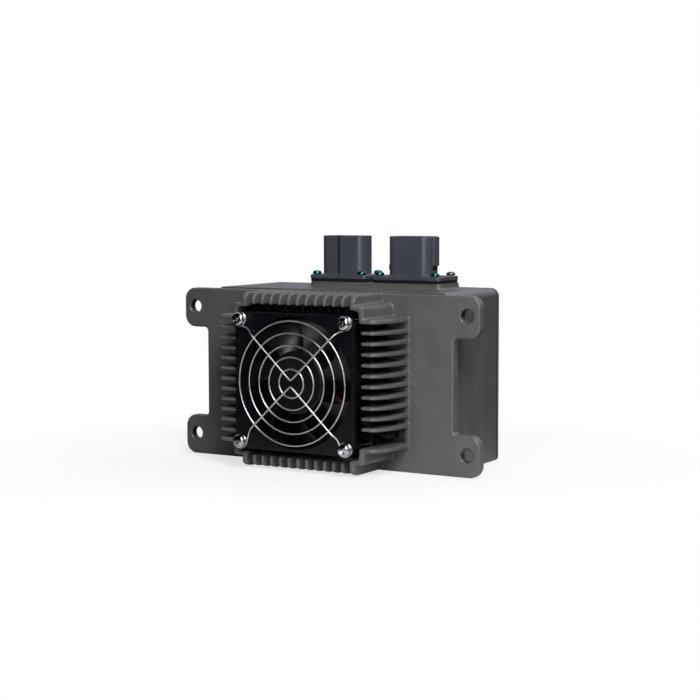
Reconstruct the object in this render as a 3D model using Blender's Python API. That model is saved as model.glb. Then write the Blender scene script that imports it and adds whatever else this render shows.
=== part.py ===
"""Sealed battery charger: a finned die-cast housing with a fan, two sockets on top and its power stage inside.

Frame: metres, +Z up, +Y to the rear. The origin is on the flat bottom face, below the middle of the
mounting flange's rear face. The fan blows rearwards into the fins, and its axis lies along Y.
"""

import math
from collections import namedtuple

import bmesh
import bpy
from mathutils import Matrix, Vector

# Clearances
GAP = 0.0003
RUNNING = 0.00006
PRESSED = 0.0001

# Mounting flange
FLANGE_THICK = 0.0055
FLANGE_EDGE = 0.0013
FLANGE_DROP = 0.0010
EAR_REACH = 0.1020
EAR_PROUD = 0.0168
EAR_TALL = 0.0241
EAR_RADIUS = 0.0070
EAR_ROOT_RADIUS = 0.0025
MOUNT_HOLE_RADIUS = 0.0038
MOUNT_RIM = 0.0006
MOUNT_INSET_X = 0.0082
MOUNT_LOW_Z = 0.0128
MOUNT_DROP = 0.0113

# Case behind the flange
CASE_HEIGHT = 0.1039
CASE_STEP = 0.0047
CASE_DEPTH = 0.0596
CASE_RADIUS = 0.0050
CASE_LOW_RADIUS = 0.0025
WALL = 0.0030

# Fin block round the fan
FAN_Z = 0.0521
SIDE_FIN_WIDE = 0.0139
TOP_FIN_TALL = 0.0071
FIN_REACH = 0.0309
FIN_PITCH = 0.00606
FINS_EACH_WAY = 5
FIN_ROOT = 0.0030
FIN_TIP = 0.0022
FIN_EDGE = 0.0005
FIN_DRAFT = 0.0004
FIN_EMBED = 0.0020
FIN_MITRE = 0.0020
SIDE_CORNER = 0.0076
TOP_CORNER = 0.0050
BOTTOM_CORNER = 0.0020
POCKET_ROOM_X = 0.0028
POCKET_ROOM_Z = 0.0041
CORNER_ROOM_X = 0.0014
CORNER_ROOM_Z = 0.0026
CORNER_ROUND = 0.0036
STEP_ONE_TIP = 0.0384
STEP_ONE_ROOT = 0.0388
STEP_TWO_TIP = 0.0442
STEP_TWO_ROOT = 0.0462
SHELF_TIP = 0.0448
SHELF_ROOT = 0.0458
UNDER_FAN_ROOM = 0.0030
HUB_ROOM = 0.0080
MISSING_FIN = -5

# Fan
FAN_SIZE = 0.0800
FAN_DEPTH = 0.0250
FAN_PROUD = 0.0034
FAN_CORNER = 0.0045
FAN_PLATE = 0.0036
FAN_BORE = 0.0382
DUCT_WALL = 0.0014
FAN_HOLE_SPACING = 0.0715
FAN_HOLE_RADIUS = 0.0022
MOTOR_BASE_RADIUS = 0.0168
MOTOR_BASE_THICK = 0.0016
STRUT_WIDE = 0.0046
STRUT_TALL = 0.0034
STRUT_COUNT = 4
LEAD_STRUT_ANGLE = math.radians(-34)
LEAD_GROOVE_FLOOR = 0.0011
SHAFT_RADIUS = 0.0015
BEARING_RADIUS = 0.0040
BEARING_WIDE = 0.0040
BEARING_TUBE_WALL = 0.0012
BEARING_LOW = 0.0020
BEARING_TUBE_TOP = 0.0188
BEARING_SHOULDER = 0.0008
HUB_RADIUS = 0.0184
HUB_WALL = 0.0012
HUB_FRONT = 0.0230
HUB_LOW = 0.0050
HUB_DISC = 0.0014
HUB_EDGE = 0.0016
BOSS_RADIUS = 0.0032
YOKE_WALL = 0.0008
MAGNET_WALL = 0.0014
MAGNET_LOW = 0.0066
MAGNET_TALL = 0.0120
STATOR_AIR = 0.0006
STATOR_LOW = 0.0060
STATOR_TALL = 0.0105
FAN_BOARD_THICK = 0.0010
BLADE_COUNT = 7
BLADE_TIP_ROOM = 0.0010
BLADE_LOW = 0.0046
BLADE_HIGH = 0.0224
BLADE_THICK = 0.0013
BLADE_WRAP_ROOT = math.radians(46)
BLADE_WRAP_TIP = math.radians(50)
BLADE_SWEEP = math.radians(14)

# Finger guard and its fixings
GUARD_RINGS = 5
GUARD_INNER = 0.0083
GUARD_RING_STEP = 0.0069
GUARD_WIRE = 0.00055
GUARD_ARM_WIRE = 0.0006
GUARD_STAND_OFF = 0.0023
GUARD_WELD = 0.0002
GUARD_TIP = 0.0017
GUARD_LOOP = 0.0029
WASHER_RADIUS = 0.0044
WASHER_THICK = 0.0008
FAN_SCREW_RADIUS = 0.0019
FAN_SCREW_HEAD = 0.0039
FAN_SCREW_HEAD_TALL = 0.0026
FAN_SCREW_BITE = 0.0100
POST_HALF = 0.0036
SCREW_BOTTOM = 0.0010

# Fan leads
LEAD_RADIUS = 0.0006
LEAD_SPREAD = 0.00078
LEAD_EXIT_X = 0.0495
LEAD_EXIT_Z = -0.0303
GROMMET_BORE = 0.0018
GROMMET_NECK = 0.0032
GROMMET_LIP = 0.0010
GROMMET_LIP_THICK = 0.0012

# Sockets on top
BOSS_LOW_X = -0.0259
BOSS_HIGH_X = 0.0642
BOSS_FRONT_Y = 0.0185
BOSS_REAR_Y = 0.0437
BOSS_TALL = 0.0038
BOSS_CORNER = 0.0030
BOSS_FILLET = 0.0022
SOCKET_GASKET = 0.0007
SOCKET_PLATE = 0.0027
SOCKET_PLATE_CORNER = 0.0022
SOCKET_RISE = 0.0234
SHELL_CORNER = 0.0034
SHELL_WALL = 0.0017
SOCKET_FLOOR = 0.0030
PLUG_INSET = 0.0012
PLUG_BELOW = 0.0030
SOCKET_SCREW_RADIUS = 0.0013
SOCKET_SCREW_HEAD = 0.0027
SOCKET_SCREW_HEAD_TALL = 0.0021
SOCKET_SCREW_BITE = 0.0052
SOCKET_SCREW_INSET = 0.0027
INPUT_X = -0.0061
INPUT_PLATE_WIDE = 0.0394
INPUT_SHELL_WIDE = 0.0297
INPUT_SHELL_DEEP = 0.0144
INPUT_SCREW_SPACING = 0.0313
OUTPUT_X = 0.0407
OUTPUT_PLATE_WIDE = 0.0456
OUTPUT_SHELL_SHIFT = -0.0011
OUTPUT_SHELL_WIDE = 0.0277
OUTPUT_SHELL_DEEP = 0.0162
OUTPUT_SCREW_SPACING = 0.0372
KEY_GROOVE_OFFSET = -0.0022
KEY_GROOVE_WIDE = 0.0013
KEY_GROOVE_DEEP = 0.0008
LATCH_RIB_WIDE = 0.0045
LATCH_RIB_PROUD = 0.0012
LATCH_WINDOW_TALL = 0.0022
LATCH_WINDOW_RISE = 0.0034
PIN_RISE = 0.0150
INPUT_PIN_COUNT = 3
INPUT_PIN_RADIUS = 0.0012
INPUT_PIN_PITCH = 0.0066
OUTPUT_PIN_COUNT = 2
OUTPUT_PIN_RADIUS = 0.0022
OUTPUT_PIN_PITCH = 0.0100
PIN_TAIL_RADIUS = 0.0010
PIN_TAIL_LENGTH = 0.0240

# Rear cover
COVER_GASKET = 0.0008
COVER_THICK = 0.0016
COVER_FIELD_INSET = 0.0150
COVER_FIELD_RISE = 0.0008
COVER_POST_RADIUS = 0.0042
COVER_POST_INSET = 0.0078
COVER_SCREW_RADIUS = 0.0015
COVER_SCREW_HEAD = 0.0029
COVER_SCREW_HEAD_TALL = 0.0019
COVER_SCREW_BITE = 0.0080

# Blank pad cast on top
PAD_LOW_X = -0.0685
PAD_WIDE = 0.0245
PAD_FRONT_Y = 0.0050
PAD_DEEP = 0.0300
PAD_PROUD = 0.0007
PAD_CORNER = 0.0020

# Power stage
BOARD_SIDE_ROOM = 0.0185
BOARD_LOW_Z = 0.0125
BOARD_TOP_ROOM = 0.0129
BOARD_THICK = 0.0016
BOARD_POST_RADIUS = 0.0038
BOARD_POST_SIDE = 0.0040
BOARD_POST_INSET = 0.0045
BOARD_SCREW_RADIUS = 0.0013
BOARD_SCREW_HEAD = 0.0026
BOARD_SCREW_HEAD_TALL = 0.0018
BOARD_SCREW_BITE = 0.0060
CORE_X = 0.0080
CORE_Z = 0.0400
CORE_WIDE = 0.0400
CORE_TALL = 0.0260
CORE_BACK = 0.0055
CORE_LEG = 0.0060
CORE_CENTRE_RADIUS = 0.0068
WINDING_ROOM = 0.0005
CAPACITOR_RADIUS = 0.0110
CAPACITOR_ROOM = 0.0031
CAPACITOR_SIDE = 0.0220
CAPACITOR_LOW_Z = 0.0330
CAPACITOR_PITCH = 0.0250
CHOKE_SIDE = 0.0320
CHOKE_Z = 0.0380
CHOKE_RADIUS = 0.0160
CHOKE_BORE = 0.0065
CHOKE_TALL = 0.0150
CHOKE_TURNS = 12
CHOKE_GROOVE = 0.0010
TRANSISTOR_WIDE = 0.0158
TRANSISTOR_TALL = 0.0205
TRANSISTOR_THICK = 0.0050
TRANSISTOR_DROP = 0.0194
TRANSISTOR_SIDE = 0.0160
TRANSISTOR_PITCH = 0.0240
LEG_PITCH = 0.0054
LEG_WIDE = 0.0011
LEG_DROP = 0.0036

# Places that follow from the sizes above
FLANGE_HEIGHT = CASE_HEIGHT - FLANGE_DROP
WEB_HALF = EAR_REACH - EAR_PROUD
CASE_HALF = WEB_HALF - CASE_STEP
MOUNT_X = EAR_REACH - MOUNT_INSET_X
POCKET_HALF_X = FAN_SIZE / 2 + POCKET_ROOM_X
POCKET_HALF_Z = FAN_SIZE / 2 + POCKET_ROOM_Z
CORNER_HALF_X = FAN_SIZE / 2 + CORNER_ROOM_X
CORNER_HALF_Z = FAN_SIZE / 2 + CORNER_ROOM_Z
BLOCK_HALF_X = POCKET_HALF_X + SIDE_FIN_WIDE
BLOCK_HALF_Z = POCKET_HALF_Z + TOP_FIN_TALL
FLANGE_FRONT_Y = -FLANGE_THICK
FIN_FRONT_Y = FLANGE_FRONT_Y - FIN_REACH
FIN_ROOT_Y = FLANGE_FRONT_Y + FIN_EMBED
FAN_FRONT_Y = FIN_FRONT_Y - FAN_PROUD
FAN_REAR_Y = FAN_FRONT_Y + FAN_DEPTH
FAN_AXIS = Vector((0, FAN_REAR_Y, FAN_Z))
UNDER_FAN_Y = FAN_REAR_Y + UNDER_FAN_ROOM
LOOP_Y = FAN_FRONT_Y - GAP - GUARD_ARM_WIRE
WASHER_Y = LOOP_Y - GUARD_ARM_WIRE - GAP
FAN_HEAD_Y = WASHER_Y - WASHER_THICK - GAP
BOSS_TOP = CASE_HEIGHT + BOSS_TALL
SOCKET_Y = (BOSS_FRONT_Y + BOSS_REAR_Y) / 2 - GAP
PLATE_LOW = BOSS_TOP + GAP + SOCKET_GASKET + GAP
PLATE_TOP = PLATE_LOW + SOCKET_PLATE
SHELL_TOP = PLATE_TOP + SOCKET_RISE
PLATE_DEEP = BOSS_REAR_Y - BOSS_FRONT_Y
BOARD_REAR_Y = SOCKET_Y - PIN_TAIL_RADIUS - GAP
BOARD_FRONT_Y = BOARD_REAR_Y - BOARD_THICK
BOARD_HALF = CASE_HALF - BOARD_SIDE_ROOM
BOARD_TOP_Z = CASE_HEIGHT - BOARD_TOP_ROOM
CAPACITOR_X = -BOARD_HALF + CAPACITOR_SIDE
CHOKE_X = BOARD_HALF - CHOKE_SIDE
TRANSISTOR_X = -BOARD_HALF + TRANSISTOR_SIDE
CAPACITOR_TALL = CASE_DEPTH - CAPACITOR_ROOM - BOARD_REAR_Y
TRANSISTOR_LOW_Z = CASE_HEIGHT - TRANSISTOR_DROP - TRANSISTOR_TALL
COVER_LOW_Y = CASE_DEPTH + GAP + COVER_GASKET + GAP
COVER_TOP_Y = COVER_LOW_Y + COVER_THICK

FRONTWARD = Matrix.Rotation(math.radians(90), 4, "X")
REARWARD = Matrix.Rotation(math.radians(-90), 4, "X")
UPWARD = Matrix.Identity(4)

CASTING = ((0.105, 0.105, 0.098), 0.55, 0.35)
BLACK_PLASTIC = ((0.012, 0.012, 0.014), 0.35, 0.0)
SLATE_PLASTIC = ((0.045, 0.050, 0.062), 0.45, 0.0)
RUBBER = ((0.010, 0.010, 0.011), 0.75, 0.0)
BRIGHT_STEEL = ((0.75, 0.75, 0.77), 0.15, 1.0)
GREEN_ZINC = ((0.10, 0.36, 0.34), 0.25, 1.0)
DARK_STEEL = ((0.20, 0.20, 0.21), 0.40, 1.0)
PLATED_PIN = ((0.78, 0.76, 0.70), 0.22, 1.0)
FERRITE = ((0.030, 0.030, 0.032), 0.60, 0.0)
COPPER = ((0.62, 0.25, 0.10), 0.35, 1.0)
BOARD_GREEN = ((0.02, 0.12, 0.05), 0.45, 0.0)
CAN_SLEEVE = ((0.02, 0.025, 0.05), 0.35, 0.0)
EPOXY_BLACK = ((0.015, 0.015, 0.016), 0.50, 0.0)
RED_SLEEVE = ((0.45, 0.01, 0.01), 0.45, 0.0)
BLACK_SLEEVE = ((0.012, 0.012, 0.012), 0.45, 0.0)

Socket = namedtuple("Socket", "kind plate_x plate_wide shell_x shell_wide shell_deep screw_spacing")
SOCKETS = (
    Socket("input", INPUT_X, INPUT_PLATE_WIDE, INPUT_X, INPUT_SHELL_WIDE, INPUT_SHELL_DEEP,
           INPUT_SCREW_SPACING),
    Socket("output", OUTPUT_X, OUTPUT_PLATE_WIDE, OUTPUT_X + OUTPUT_SHELL_SHIFT, OUTPUT_SHELL_WIDE,
           OUTPUT_SHELL_DEEP, OUTPUT_SCREW_SPACING),
)


def clear_scene():
    for ob in list(bpy.data.objects):
        bpy.data.objects.remove(ob, do_unlink=True)


def mix(low, high, part):
    return low + (high - low) * part


def arc(centre, radius, start, end, steps):
    """Points on a round from start to end, in degrees, both ends kept."""
    turns = [math.radians(mix(start, end, i / steps)) for i in range(steps + 1)]
    return [(centre[0] + radius * math.cos(t), centre[1] + radius * math.sin(t)) for t in turns]


def rounded_rectangle(low, high, radius, steps=4):
    """Outline with round corners between two opposite corners."""
    (x0, z0), (x1, z1) = low, high
    points = arc((x1 - radius, z0 + radius), radius, -90, 0, steps)
    points += arc((x1 - radius, z1 - radius), radius, 0, 90, steps)
    points += arc((x0 + radius, z1 - radius), radius, 90, 180, steps)
    points += arc((x0 + radius, z0 + radius), radius, 180, 270, steps)
    return points


def along_y(points, y):
    return [Vector((a, y, b)) for a, b in points]


def along_z(points, z):
    return [Vector((a, b, z)) for a, b in points]


def along_x(points, x):
    return [Vector((x, a, b)) for a, b in points]


def bridge(bm, first, second):
    for i in range(len(first)):
        j = (i + 1) % len(first)
        bm.faces.new((first[i], first[j], second[j], second[i]))


def skin(loops, ring=False):
    """Closed body through loops of equal length: capped at both ends, or a ring that meets itself."""
    bm = bmesh.new()
    rows = [[bm.verts.new(p) for p in loop] for loop in loops]
    for a, b in zip(rows, rows[1:]):
        bridge(bm, a, b)
    if ring:
        bridge(bm, rows[-1], rows[0])
    else:
        bm.faces.new(rows[0])
        bm.faces.new(rows[-1])
    bmesh.ops.recalc_face_normals(bm, faces=bm.faces)
    return bm


def turned(profile, steps=16, matrix=UPWARD):
    """Round body from (radius, height) points: a solid from axis to axis, or a ring away from the axis."""
    bm = bmesh.new()
    rows = []
    for radius, height in profile:
        count = steps if radius > 0 else 1
        turns = [2 * math.pi * i / steps for i in range(count)]
        rows.append([bm.verts.new((radius * math.cos(t), radius * math.sin(t), height)) for t in turns])
    pairs = list(zip(rows, rows[1:]))
    if profile[0][0] > 0:
        pairs.append((rows[-1], rows[0]))
    for first, second in pairs:
        for i in range(steps):
            j = (i + 1) % steps
            corners = [first[i % len(first)], first[j % len(first)]]
            corners += [second[j % len(second)], second[i % len(second)]]
            kept = [v for k, v in enumerate(corners) if v not in corners[:k]]
            if len(kept) > 2:
                bm.faces.new(kept)
    bmesh.ops.recalc_face_normals(bm, faces=bm.faces)
    bmesh.ops.transform(bm, matrix=matrix, verts=bm.verts)
    return bm


def tube(path, radius, sides=6, closed=False):
    """Round wire along a path, with a frame carried from point to point."""
    bm = bmesh.new()
    count = len(path)
    rows = []
    normal = None
    for i, point in enumerate(path):
        before = path[i - 1] if closed or i else point
        after = path[(i + 1) % count] if closed or i + 1 < count else point
        tangent = (after - before).normalized()
        if normal is None:
            normal = tangent.orthogonal().normalized()
        normal = (normal - tangent * normal.dot(tangent)).normalized()
        side = tangent.cross(normal)
        turns = [2 * math.pi * (k + 0.5) / sides for k in range(sides)]
        rows.append([bm.verts.new(point + radius * (normal * math.cos(t) + side * math.sin(t))) for t in turns])
    for a, b in zip(rows, rows[1:]):
        bridge(bm, a, b)
    if closed:
        bridge(bm, rows[-1], rows[0])
    else:
        bm.faces.new(rows[0])
        bm.faces.new(rows[-1])
    bmesh.ops.recalc_face_normals(bm, faces=bm.faces)
    return bm


def soft_path(corners, radius, steps=3):
    """Path through corner points with each inner corner rounded off."""
    path = [corners[0]]
    for before, corner, after in zip(corners, corners[1:], corners[2:]):
        start = corner + (before - corner).normalized() * radius
        end = corner + (after - corner).normalized() * radius
        for i in range(steps + 1):
            t = i / steps
            path.append(start * (1 - t) ** 2 + corner * 2 * t * (1 - t) + end * t ** 2)
    path.append(corners[-1])
    return path


def gather(parts):
    """One mesh of several separate bodies."""
    whole = bmesh.new()
    for bm in parts:
        mesh = bpy.data.meshes.new("part")
        bm.to_mesh(mesh)
        bm.free()
        whole.from_mesh(mesh)
        bpy.data.meshes.remove(mesh)
    return whole


def solid(name, bm, location=(0, 0, 0)):
    """Object from a mesh in the making, freed here."""
    mesh = bpy.data.meshes.new(name)
    bm.to_mesh(mesh)
    bm.free()
    ob = bpy.data.objects.new(name, mesh)
    ob.location = location
    bpy.context.collection.objects.link(ob)
    return ob


def combine(ob, bm, operation):
    """Joins a body to the object, or cuts it away, and keeps the result as its mesh."""
    tool = solid("tool", bm, ob.location)
    modifier = ob.modifiers.new("combine", "BOOLEAN")
    modifier.operation = operation
    modifier.solver = "EXACT"
    modifier.object = tool
    graph = bpy.context.evaluated_depsgraph_get()
    mesh = bpy.data.meshes.new_from_object(ob.evaluated_get(graph))
    ob.modifiers.clear()
    old = ob.data
    ob.data = mesh
    bpy.data.meshes.remove(old)
    bpy.data.objects.remove(tool, do_unlink=True)


def join(ob, bm):
    combine(ob, bm, "UNION")


def cut(ob, bm):
    combine(ob, bm, "DIFFERENCE")


def finish(ob, look, angle=35):
    """Gives the object its own material, and shades its rounds smooth."""
    colour, roughness, metallic = look
    material = bpy.data.materials.new(ob.name)
    material.use_nodes = True
    shader = material.node_tree.nodes["Principled BSDF"]
    shader.inputs["Base Color"].default_value = (*colour, 1.0)
    shader.inputs["Roughness"].default_value = roughness
    shader.inputs["Metallic"].default_value = metallic
    ob.data.name = ob.name
    ob.data.materials.clear()
    ob.data.materials.append(material)
    ob.data.shade_smooth()
    ob.data.set_sharp_from_angle(angle=math.radians(angle))
    return ob


def box(low, high):
    """Plain block between two corners."""
    (x0, y0, z0), (x1, y1, z1) = low, high
    outline = [(x0, z0), (x1, z0), (x1, z1), (x0, z1)]
    return skin([along_y(outline, y0), along_y(outline, y1)])


def round_bar(start, end, radius, steps=16):
    """Plain round bar between two points."""
    start, end = Vector(start), Vector(end)
    length = (end - start).length
    bm = turned([(0, 0), (radius, 0), (radius, length), (0, length)], steps)
    turn = (end - start).to_track_quat("Z", "Y").to_matrix().to_4x4()
    bmesh.ops.transform(bm, matrix=Matrix.Translation(start) @ turn, verts=bm.verts)
    return bm


def soften(bm, width, wanted, segments=1):
    """Breaks the sharp edges that the test picks."""
    edges = []
    for edge in bm.edges:
        if edge.calc_face_angle(0) > math.radians(35) and wanted(edge):
            edges.append(edge)
    bmesh.ops.bevel(bm, geom=edges, offset=width, segments=segments, affect="EDGES", profile=0.5)


def in_front(edge):
    """True for an edge that stands at least partly proud of the flange."""
    return min(v.co.y for v in edge.verts) < FLANGE_FRONT_Y - FIN_EDGE


def flange_outline():
    """Web with four ears: right side upwards, then the same mirrored."""
    root = EAR_ROOT_RADIUS
    low, high = EAR_TALL, FLANGE_HEIGHT - EAR_TALL
    centre = EAR_REACH - EAR_RADIUS
    right = arc((centre, EAR_RADIUS), EAR_RADIUS, -90, 0, 5)
    right += arc((centre, low - EAR_RADIUS), EAR_RADIUS, 0, 90, 5)
    right += arc((WEB_HALF + root, low + root), root, 270, 180, 3)
    right += arc((WEB_HALF + root, high - root), root, 180, 90, 3)
    right += arc((centre, high + EAR_RADIUS), EAR_RADIUS, -90, 0, 5)
    right += arc((centre, FLANGE_HEIGHT - EAR_RADIUS), EAR_RADIUS, 0, 90, 5)
    return right + [(-x, z) for x, z in reversed(right)]


def flange():
    outline = flange_outline()
    bm = skin([along_y(outline, FLANGE_FRONT_Y), along_y(outline, 0)])
    front = [e for e in bm.edges if all(v.co.y < FLANGE_FRONT_Y / 2 for v in e.verts)]
    bmesh.ops.bevel(bm, geom=front, offset=FLANGE_EDGE, segments=2, affect="EDGES", profile=0.5)
    return bm


def case_outline(inset=0.0):
    """Outline of the case walls, with tighter corners at the bottom; the room inside keeps round ones."""
    low, high = CASE_LOW_RADIUS, CASE_RADIUS
    if inset:
        low = high = WALL
    side, bottom, top = CASE_HALF - inset, inset, CASE_HEIGHT - inset
    outline = arc((side - low, bottom + low), low, -90, 0, 4)
    outline += arc((side - high, top - high), high, 0, 90, 4)
    return outline + [(-x, z) for x, z in reversed(outline)]


def round_off(distance, radius):
    """How far a round corner falls back at a distance from the front."""
    if distance >= radius:
        return 0.0
    return radius - math.sqrt(radius ** 2 - (radius - distance) ** 2)


def fin_profile(inner, pocket, outer, corner):
    """Side view of a fin as (outwards, y): low under the fan, tall beside it."""
    centre = (outer - FIN_DRAFT - corner, FIN_FRONT_Y + corner)
    points = [(inner, FIN_ROOT_Y), (inner, UNDER_FAN_Y), (pocket, UNDER_FAN_Y), (pocket, FIN_FRONT_Y)]
    points += arc(centre, corner, 270, 360, 3)
    points.append((outer, FIN_ROOT_Y))
    return points


def fin(inner, pocket, outer, corner):
    """One tapered fin, standing across v = 0 in (outwards, y, v)."""
    profile = fin_profile(inner, pocket, outer, corner)
    loops = []
    for side in (-1, 1):
        loop = []
        for u, y in profile:
            part = (y - FIN_FRONT_Y) / (FIN_ROOT_Y - FIN_FRONT_Y)
            loop.append(Vector((u, y, side * mix(FIN_TIP, FIN_ROOT, part) / 2)))
        loops.append(loop)
    bm = skin(loops)
    soften(bm, FIN_EDGE, in_front)
    return bm


def fins_on_side(outward, across, offsets, pocket, outer, corner):
    """A row of fins on one side of the fan."""
    row = []
    for offset in offsets:
        inner = max(abs(offset) + FIN_MITRE, HUB_ROOM)
        bm = fin(inner, pocket, outer, corner)
        columns = (outward, Vector((0, 1, 0)), across)
        turn = Matrix([[c[i] for c in columns] for i in range(3)]).to_4x4()
        place = Matrix.Translation(Vector((0, 0, FAN_Z)) + across * offset)
        bmesh.ops.transform(bm, matrix=place @ turn, verts=bm.verts)
        bmesh.ops.recalc_face_normals(bm, faces=bm.faces)
        row.append(bm)
    return row


def all_fins():
    """Fins that fan out from the blades on all four sides, less the one where the leads pass."""
    steps = range(-FINS_EACH_WAY, FINS_EACH_WAY + 1)
    offsets = [k * FIN_PITCH for k in steps]
    right = [k * FIN_PITCH for k in steps if k != MISSING_FIN]
    x, z = Vector((1, 0, 0)), Vector((0, 0, 1))
    rows = fins_on_side(x, z, right, POCKET_HALF_X, BLOCK_HALF_X, SIDE_CORNER)
    rows += fins_on_side(-x, z, offsets, POCKET_HALF_X, BLOCK_HALF_X, SIDE_CORNER)
    rows += fins_on_side(z, x, offsets, POCKET_HALF_Z, BLOCK_HALF_Z, TOP_CORNER)
    rows += fins_on_side(-z, x, offsets, POCKET_HALF_Z, BLOCK_HALF_Z, BOTTOM_CORNER)
    return gather(rows)


def corner_section(y, corner):
    """Stepped section of a right-hand corner block at one depth, outwards from the fan's axis."""
    part = (y - FIN_FRONT_Y) / (FIN_ROOT_Y - FIN_FRONT_Y)
    distance = y - FIN_FRONT_Y
    half = mix(FIN_TIP, FIN_ROOT, part) / 2
    last = (FINS_EACH_WAY + 1) * FIN_PITCH
    top = BLOCK_HALF_Z - round_off(distance, corner)
    side = mix(BLOCK_HALF_X - FIN_DRAFT, BLOCK_HALF_X, part) - round_off(distance, SIDE_CORNER)
    step_one = mix(STEP_ONE_TIP, STEP_ONE_ROOT, part)
    step_two = mix(STEP_TWO_TIP, STEP_TWO_ROOT, part)
    shelf = mix(SHELF_TIP, SHELF_ROOT, part)
    centre = (CORNER_HALF_X - CORNER_ROUND, CORNER_HALF_Z - CORNER_ROUND)
    return [
        (last - half, top), (step_one, top), (step_one, shelf), (step_two, shelf), (step_two, last + half),
        (side, last + half), (side, last - half), (CORNER_HALF_X, last - half),
        *arc(centre, CORNER_ROUND, 0, 90, 3)[1:3], (last - half, CORNER_HALF_Z),
    ]


def corner_depths(corner):
    """Depths behind the fins' front at which both rounded edges of a corner block need a loop."""
    depths = {0.0, FIN_ROOT_Y - FIN_FRONT_Y}
    for radius in (corner, SIDE_CORNER):
        depths.update(radius * (1 - math.sin(math.radians(turn))) for turn in (60, 30, 0))
    return [FIN_FRONT_Y + depth for depth in sorted(depths)]


def corner_blocks():
    """The four stepped corners that close the fin block."""
    blocks = []
    for sx in (-1, 1):
        for sz, corner in ((-1, BOTTOM_CORNER), (1, TOP_CORNER)):
            loops = []
            for y in corner_depths(corner):
                loops.append([Vector((sx * u, y, FAN_Z + sz * w)) for u, w in corner_section(y, corner)])
            bm = skin(loops)
            soften(bm, FIN_EDGE, in_front)
            blocks.append(bm)
    return gather(blocks)


def fan_hole_places():
    half = FAN_HOLE_SPACING / 2
    return [(sx * half, FAN_Z + sz * half) for sz in (1, -1) for sx in (-1, 1)]


def cover_screw_places():
    low_x, high_x = -CASE_HALF + COVER_POST_INSET, CASE_HALF - COVER_POST_INSET
    low_z, high_z = COVER_POST_INSET, CASE_HEIGHT - COVER_POST_INSET
    return [(x, z) for z in (low_z, CASE_HEIGHT / 2, high_z) for x in (low_x, high_x)]


def board_screw_places():
    low, high = BOARD_LOW_Z + BOARD_POST_INSET, BOARD_TOP_Z - BOARD_POST_INSET
    side = BOARD_HALF - BOARD_POST_SIDE
    return [(x, z) for z in (low, high) for x in (-side, side)]


def grommet_place():
    return LEAD_EXIT_X, FAN_Z + LEAD_EXIT_Z


def socket_screw_places(socket):
    front = SOCKET_Y - PLATE_DEEP / 2 + SOCKET_SCREW_INSET
    rear = SOCKET_Y + PLATE_DEEP / 2 - SOCKET_SCREW_INSET
    half = socket.screw_spacing / 2
    return [(socket.plate_x + side * half, y) for y in (front, rear) for side in (-1, 1)]


def shell_outline(socket, inset=0.0):
    half_x = socket.shell_wide / 2 - inset
    half_y = socket.shell_deep / 2 - inset
    low, high = (socket.shell_x - half_x, SOCKET_Y - half_y), (socket.shell_x + half_x, SOCKET_Y + half_y)
    return rounded_rectangle(low, high, SHELL_CORNER - inset, 3)


def socket_boss():
    """Cast seat for both sockets, flared where it leaves the top wall."""
    loops = []
    low = CASE_HEIGHT - WALL / 2
    heights = [(low, BOSS_FILLET)]
    for i in range(4):
        turn = math.radians(30 * i)
        heights.append((CASE_HEIGHT + BOSS_FILLET * (1 - math.cos(turn)), BOSS_FILLET * (1 - math.sin(turn))))
    heights.append((BOSS_TOP, 0.0))
    for z, flare in heights:
        corner = (BOSS_LOW_X - flare, BOSS_FRONT_Y - flare)
        other = (BOSS_HIGH_X + flare, BOSS_REAR_Y + flare)
        loops.append(along_z(rounded_rectangle(corner, other, BOSS_CORNER + flare, 3), z))
    return skin(loops)


def inner_posts():
    """Posts inside the case for the rear cover and the board."""
    posts = []
    low = -FLANGE_THICK / 2
    for x, z in cover_screw_places():
        posts.append(round_bar((x, low, z), (x, COVER_LOW_Y - GAP, z), COVER_POST_RADIUS, 12))
    for x, z in board_screw_places():
        posts.append(round_bar((x, low, z), (x, BOARD_FRONT_Y - GAP, z), BOARD_POST_RADIUS, 12))
    return gather(posts)


def fan_posts():
    """Square posts in the four corners of the fan's pocket."""
    posts = []
    for x, z in fan_hole_places():
        sx, sz = math.copysign(1, x), math.copysign(1, z - FAN_Z)
        near = (x - sx * POST_HALF, z - sz * POST_HALF)
        far = (sx * POCKET_HALF_X, FAN_Z + sz * POCKET_HALF_Z)
        low = (min(near[0], far[0]), FAN_REAR_Y + GAP, min(near[1], far[1]))
        high = (max(near[0], far[0]), FIN_ROOT_Y, max(near[1], far[1]))
        posts.append(box(low, high))
    return gather(posts)


def mounting_holes():
    """Through holes in the ears with broken rims."""
    reach, rim = MOUNT_HOLE_RADIUS, MOUNT_RIM
    over = rim
    profile = [(0, -over), (reach + rim + over, -over), (reach, rim), (reach, FLANGE_THICK - rim)]
    profile += [(reach + rim + over, FLANGE_THICK + over), (0, FLANGE_THICK + over)]
    holes = []
    for x in (-MOUNT_X, MOUNT_X):
        for z in (MOUNT_LOW_Z, FLANGE_HEIGHT - MOUNT_DROP):
            holes.append(turned(profile, 20, Matrix.Translation((x, 0, z)) @ FRONTWARD))
    return gather(holes)


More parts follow.
